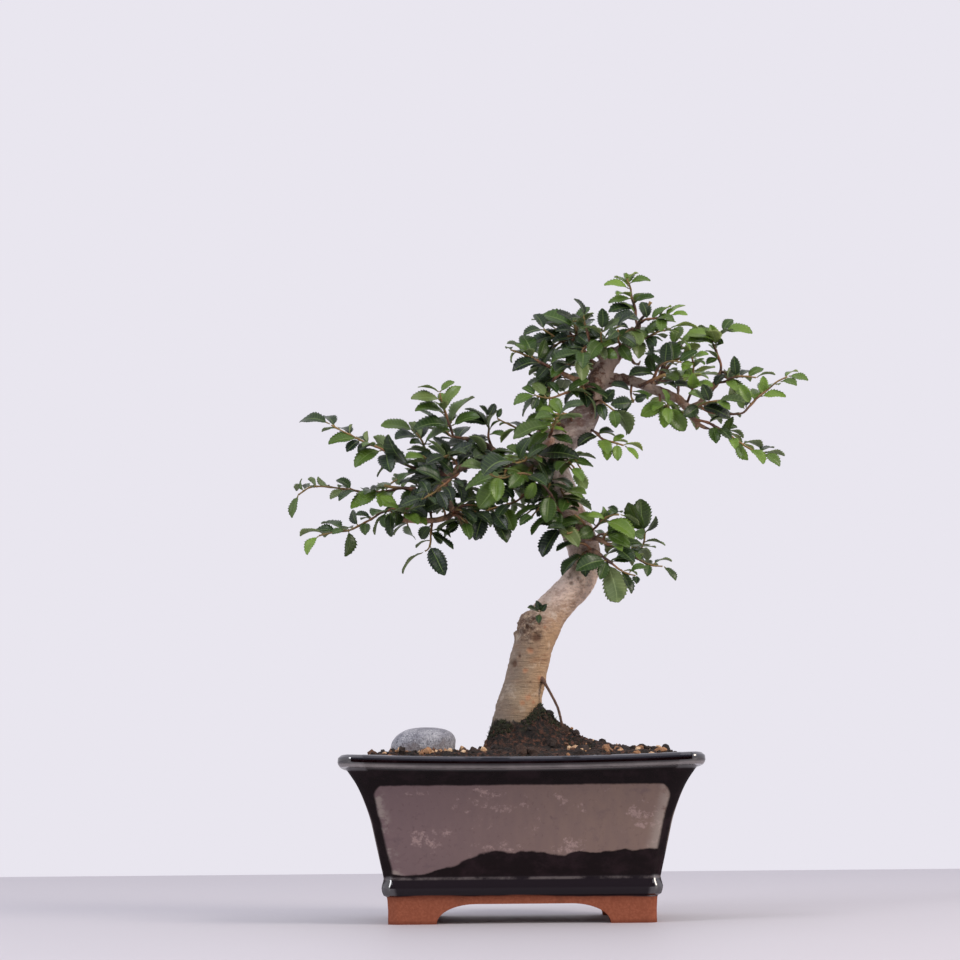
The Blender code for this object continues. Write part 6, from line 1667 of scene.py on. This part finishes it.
def leaf_finish(p):
    """Elm leaf: deep green above with lighter veins and soft gloss, pale and matt below, yellow when young.
    The youth and light number also paints light and shade, and the greyest random tone is a painted sheen.
    """
    net = Net("elm_leaf")
    uv = net.node("UVMap", {"uv_map": "Surface"}, {})
    both = net.axis(uv, "X")
    v = net.axis(uv, "Y").size()
    under = both.math("GREATER_THAN", UNDERSIDE - 0.6)
    u = both - under * UNDERSIDE
    youth = net.number("youth")
    soft = net.speckle(160, 2)
    fine = net.speckle(1600)
    vein = (u * net.number("teeth")).math("FRACT")
    vein = (vein - 0.9).size().step(0.085, 0.02) * v.step(0.98, 0.8)
    ribs = (v.step(0.085, 0.03) + vein * 0.42).clip()
    # Random tone of a grown leaf; its greyest stop at the top is a painted sheen
    mature = net.ramp(net.number("chance"), (0, (16, 25, 18)), (0.28, p.leaf_dark), (0.68, p.leaf),
                      (0.9, (80, 104, 38)), (1, (104, 118, 70)))
    below = net.coats(
        net.blend(youth.step(0, 1), (106, 122, 78), (140, 158, 78)),
        (ribs * 0.6, (158, 176, 120)))
    tone = net.coats(
        mature,
        # Young and lit leaves painted yellow green, old and shaded leaves painted dark blue green
        (youth.step(0.05, 1), p.leaf_young),
        (youth.step(-0.1, -0.8) * 0.85, (24, 36, 32)),
        (soft.step(0.45, 0.7) * 0.3, (56, 84, 36)),
        (fine.step(0.5, 0.75) * 0.18, (24, 36, 16)),
        (ribs * 0.52, (118, 142, 78)),
        (under, below),
        (u.step(0.02, -0.03), (124, 110, 66)))
    return net.finish(Base_Color=tone, Roughness=under * 0.25 + (fine - 0.5) * 0.12 + 0.31,
                      Normal=net.bump(ribs * -1 + fine * 0.25, 0.00022, 0.6), Specular_IOR_Level=0.36)


def twig_finish(p):
    """Thin bark of young twigs: red brown with pale specks, darker in patches, yellow green to the tip."""
    net = Net("twig_bark")
    fine = net.speckle(1400)
    tone = net.coats(
        net.blend(net.speckle(140).step(0.38, 0.62), (66, 42, 34), p.twig),
        (fine.step(0.6, 0.7) * 0.5, (170, 130, 104)),
        # On twigs the number holds only the share of the way to the tip
        (net.number("youth").step(0.4, 0.95) * 0.6, (138, 120, 62)))
    return net.finish(Base_Color=tone, Roughness=0.62, Normal=net.bump(fine, 0.0003, 0.6))


def floor_finish(colour):
    """Even floor with faint wide clouds."""
    net = Net("floor")
    tone = net.blend(net.speckle(6).step(0.3, 0.7) * 0.08, colour, (190, 186, 192))
    return net.finish(Base_Color=tone, Roughness=0.55)


# Stage, in metres from the pot's middle
LOOK_AT = (0, 0, 0.15)
LEFT_LAMP = ((-0.85, -0.78, 0.72), 0.26, (0.97, 0.98, 1.0))
RIGHT_LAMP = ((0.95, -0.62, 0.7), 0.3, (1.0, 0.91, 0.8))
LAMP_HEIGHT = 1.1
CARD_PLACE = (0, -1.35, 0.25)
CARD_SIZE = (2.4, 1.1)


def card(name, width, height, place, turn, finish):
    """A flat stage rectangle at a place, turned by so many radians about X."""
    x, y = width / 2, height / 2
    made = link(name, bare_mesh(name, [(-x, -y, 0), (x, -y, 0), (x, y, 0), (-x, y, 0)], [(0, 1, 2, 3)]))
    made.data.materials.append(finish)
    made.location = place
    made.rotation_euler = (turn, 0, 0)
    return made


def lamp(name, setting, power):
    """An upright rectangle of soft light that faces the tree."""
    place, width, colour = setting
    data = bpy.data.lights.new(name, "AREA")
    data.shape = "RECTANGLE"
    data.size = width
    data.size_y = LAMP_HEIGHT
    data.color = colour
    data.energy = power
    made = link(name, data)
    made.location = Vector(ORIGIN) + Vector(place)
    made.rotation_euler = (Vector(LOOK_AT) - Vector(place)).to_track_quat("-Z", "Y").to_euler()


def build_stage(p):
    """Floor, plain backdrop light, soft lamps at both sides, and a dark card that the glaze mirrors."""
    centre = Vector(ORIGIN)
    middle = centre + Vector((0, p.floor_depth / 2 - p.floor_front, 0))
    card("floor", p.floor_width, p.floor_depth, middle, 0, floor_finish(p.floor))
    world = bpy.data.worlds.new("backdrop")
    world.use_nodes = True
    light = world.node_tree.nodes["Background"]
    light.inputs["Color"].default_value = (*p.backdrop, 1.0)
    light.inputs["Strength"].default_value = p.backdrop_strength
    bpy.context.scene.world = world
    lamp("window_left", LEFT_LAMP, p.left_power)
    lamp("window_right", RIGHT_LAMP, p.right_power)
    dark = Net("card").finish(Base_Color=(0.0, 0.0, 0.0), Roughness=1.0, Specular_IOR_Level=0.0)
    flag = card("dark_card", *CARD_SIZE, centre + Vector(CARD_PLACE), math.radians(90), dark)
    flag.visible_camera = False
    data = bpy.data.cameras.new("camera")
    data.sensor_width = 36.0
    data.lens = p.lens
    data.clip_start = 0.01
    data.clip_end = 20.0
    made = link("camera", data)
    turn = Matrix.Rotation(math.radians(90 + p.tilt), 4, "X") @ Matrix.Rotation(math.radians(p.roll), 4, "Z")
    made.matrix_world = Matrix.Translation(centre + Vector(EYE) * MM) @ turn
    bpy.context.scene.camera = made
    bpy.context.scene.view_settings.view_transform = "Standard"


# Settings shown in the sidebar
def tint(label, about, colour):
    return bpy.props.FloatVectorProperty(name=label, description=about, default=linear(*colour), size=3,
                                         min=0.0, max=1.0, subtype="COLOR")


def length(label, about, millimetres):
    return bpy.props.FloatProperty(name=label, description=about, default=millimetres * MM, min=0.0, max=5.0,
                                   unit="LENGTH", subtype="DISTANCE")


def amount(label, about, default, high=10.0, low=0.0):
    return bpy.props.FloatProperty(name=label, description=about, default=default, min=low, max=high,
                                   subtype="FACTOR")


class PotSettings(bpy.types.PropertyGroup):
    glaze: tint("Glaze", "Body of the glaze", (18, 8, 10))
    # Left tone of the painted reflection on the walls
    wall_reflection: tint("Glaze haze", "Mauve bloom on the walls", (114, 95, 97))
    # Colour of the painted pale reflection line on the lip
    lip_reflection: tint("Glaze edge", "Pale line where the glaze breaks on the lip", (176, 168, 166))
    clay: tint("Bare clay", "Clay below the glaze", (132, 76, 58))


class SoilSettings(bpy.types.PropertyGroup):
    earth: tint("Earth", "Paler crumbs of the earth", (96, 60, 45))
    moss: tint("Moss", "Tips of the moss", (48, 56, 24))
    stone: tint("Stone", "Body of the stone", (132, 132, 142))
    grain: length("Grain size", "Middle size of a loose grain", 2.3)
    moss_height: length("Moss height", "Length of a moss stem", 1.4)
    grains: bpy.props.IntProperty(name="Grains", description="Number of loose grains", default=620, min=10,
                                  max=3000)


class WoodSettings(bpy.types.PropertyGroup):
    bark_low: tint("Lower bark", "Trunk below the first limb", (143, 119, 96))
    bark_high: tint("Upper bark", "Trunk in the crown", (182, 168, 160))
    twig: tint("Twig", "Bark of the thin twigs", (134, 90, 64))
    relief: amount("Relief", "Height of the bark's relief, 1 as grown", 1.0)


class FoliageSettings(bpy.types.PropertyGroup):
    leaf: tint("Leaf", "Upper side of a grown leaf", (56, 82, 28))
    leaf_dark: tint("Old leaf", "Upper side of an old leaf", (29, 46, 24))
    leaf_young: tint("Young leaf", "Upper side of a young leaf", (112, 142, 54))
    extra: amount("Extra leaves", "Small leaves grown beside each solid leaf", 1.0, 4.0)
    inner: amount("Inner twigs", "Number of inner leafy twigs, 1 as grown", 1.0, 3.0)
    broad: amount("Breadth", "Breadth of a leaf, 1 as grown", 1.0, 2.0)


class StageSettings(bpy.types.PropertyGroup):
    backdrop: tint("Backdrop", "Plain light behind everything", (233, 230, 239))
    backdrop_strength: amount("Backdrop strength", "Strength of the plain light", 1.0)
    floor: tint("Floor", "Colour of the floor", (192, 189, 196))
    floor_width: length("Floor width", "Width of the floor", 2400.0)
    floor_depth: length("Floor depth", "Depth of the floor", 1000.0)
    floor_front: length("Floor front", "Reach of the floor in front of the pot's middle", 350.0)
    left_power: amount("Left lamp", "Power of the left lamp in watts", 7.5, 200.0)
    right_power: amount("Right lamp", "Power of the right lamp in watts", 11.5, 200.0)
    lens: amount("Lens", "Focal length in millimetres for a 36 mm sensor", 91.3, 500.0)
    tilt: amount("Tilt", "Degrees that the camera looks up", 7.36, 45.0)
    roll: amount("Roll", "Degrees that the camera is rolled", -0.5, 45.0, -45.0)


class BonsaiOperator:
    """What the operators share: they change the scene and can be undone."""

    bl_options = {"REGISTER", "UNDO"}


class BONSAI_OT_pot(BonsaiOperator, bpy.types.Operator):
    """Build the glazed pot"""

    bl_idname = "bonsai.pot"
    bl_label = "Pot"

    def execute(self, context):
        build_pot(glaze_finish(context.scene.bonsai_pot))
        return {"FINISHED"}


class BONSAI_OT_soil(BonsaiOperator, bpy.types.Operator):
    """Build the earth"""

    bl_idname = "bonsai.soil"
    bl_label = "Earth"

    def execute(self, context):
        build_soil(earth_finish(context.scene.bonsai_soil))
        return {"FINISHED"}


class BONSAI_OT_grit(BonsaiOperator, bpy.types.Operator):
    """Scatter the loose grains"""

    bl_idname = "bonsai.grit"
    bl_label = "Grit"

    def execute(self, context):
        settings = context.scene.bonsai_soil
        build_grit(grit_finish(), settings.grain, settings.grains)
        return {"FINISHED"}


class BONSAI_OT_moss(BonsaiOperator, bpy.types.Operator):
    """Grow the moss"""

    bl_idname = "bonsai.moss"
    bl_label = "Moss"

    def execute(self, context):
        settings = context.scene.bonsai_soil
        build_moss(moss_finish(settings), settings.moss_height)
        return {"FINISHED"}


class BONSAI_OT_stone(BonsaiOperator, bpy.types.Operator):
    """Build the stone"""

    bl_idname = "bonsai.stone"
    bl_label = "Stone"

    def execute(self, context):
        build_stone(stone_finish(context.scene.bonsai_soil))
        return {"FINISHED"}


class BONSAI_OT_wood(BonsaiOperator, bpy.types.Operator):
    """Build the trunk and limbs with their bark"""

    bl_idname = "bonsai.wood"
    bl_label = "Wood"

    def execute(self, context):
        settings = context.scene.bonsai_wood
        build_wood(bark_finish(settings), settings.relief)
        return {"FINISHED"}


class BONSAI_OT_foliage(BonsaiOperator, bpy.types.Operator):
    """Grow the twigs and leaves"""

    bl_idname = "bonsai.foliage"
    bl_label = "Foliage"

    def execute(self, context):
        settings = context.scene.bonsai_foliage
        build_foliage(leaf_finish(settings), twig_finish(context.scene.bonsai_wood), settings.extra,
                      settings.broad, settings.inner)
        return {"FINISHED"}


class BONSAI_OT_stage(BonsaiOperator, bpy.types.Operator):
    """Set up floor, backdrop, lamps and camera"""

    bl_idname = "bonsai.stage"
    bl_label = "Stage"

    def execute(self, context):
        build_stage(context.scene.bonsai_stage)
        return {"FINISHED"}


class BONSAI_PT_panel(bpy.types.Panel):
    """Sidebar list of the builders and their settings"""

    bl_idname = "BONSAI_PT_panel"
    bl_label = "Chinese elm bonsai"
    bl_space_type = "VIEW_3D"
    bl_region_type = "UI"
    bl_category = "Bonsai"

    def draw(self, context):
        for key, (group, builders) in GROUPS.items():
            settings = getattr(context.scene, key)
            box = self.layout.box()
            for builder in builders:
                box.operator(builder.bl_idname)
            for label in group.__annotations__:
                box.prop(settings, label)


GROUPS = {
    "bonsai_pot": (PotSettings, (BONSAI_OT_pot,)),
    "bonsai_soil": (SoilSettings, (BONSAI_OT_soil, BONSAI_OT_grit, BONSAI_OT_moss, BONSAI_OT_stone)),
    "bonsai_wood": (WoodSettings, (BONSAI_OT_wood,)),
    "bonsai_foliage": (FoliageSettings, (BONSAI_OT_foliage,)),
    "bonsai_stage": (StageSettings, (BONSAI_OT_stage,)),
}


def register():
    for key, (group, builders) in GROUPS.items():
        bpy.utils.register_class(group)
        setattr(bpy.types.Scene, key, bpy.props.PointerProperty(type=group))
        for builder in builders:
            bpy.utils.register_class(builder)
    bpy.utils.register_class(BONSAI_PT_panel)


def unregister():
    bpy.utils.unregister_class(BONSAI_PT_panel)
    for key, (group, builders) in reversed(GROUPS.items()):
        for builder in reversed(builders):
            bpy.utils.unregister_class(builder)
        delattr(bpy.types.Scene, key)
        bpy.utils.unregister_class(group)


def main():
    register()
    bpy.ops.bonsai.pot()
    bpy.ops.bonsai.soil()
    bpy.ops.bonsai.grit()
    bpy.ops.bonsai.moss()
    bpy.ops.bonsai.stone()
    bpy.ops.bonsai.wood()
    bpy.ops.bonsai.foliage()
    bpy.ops.bonsai.stage()


if __name__ == "__main__":
    main()
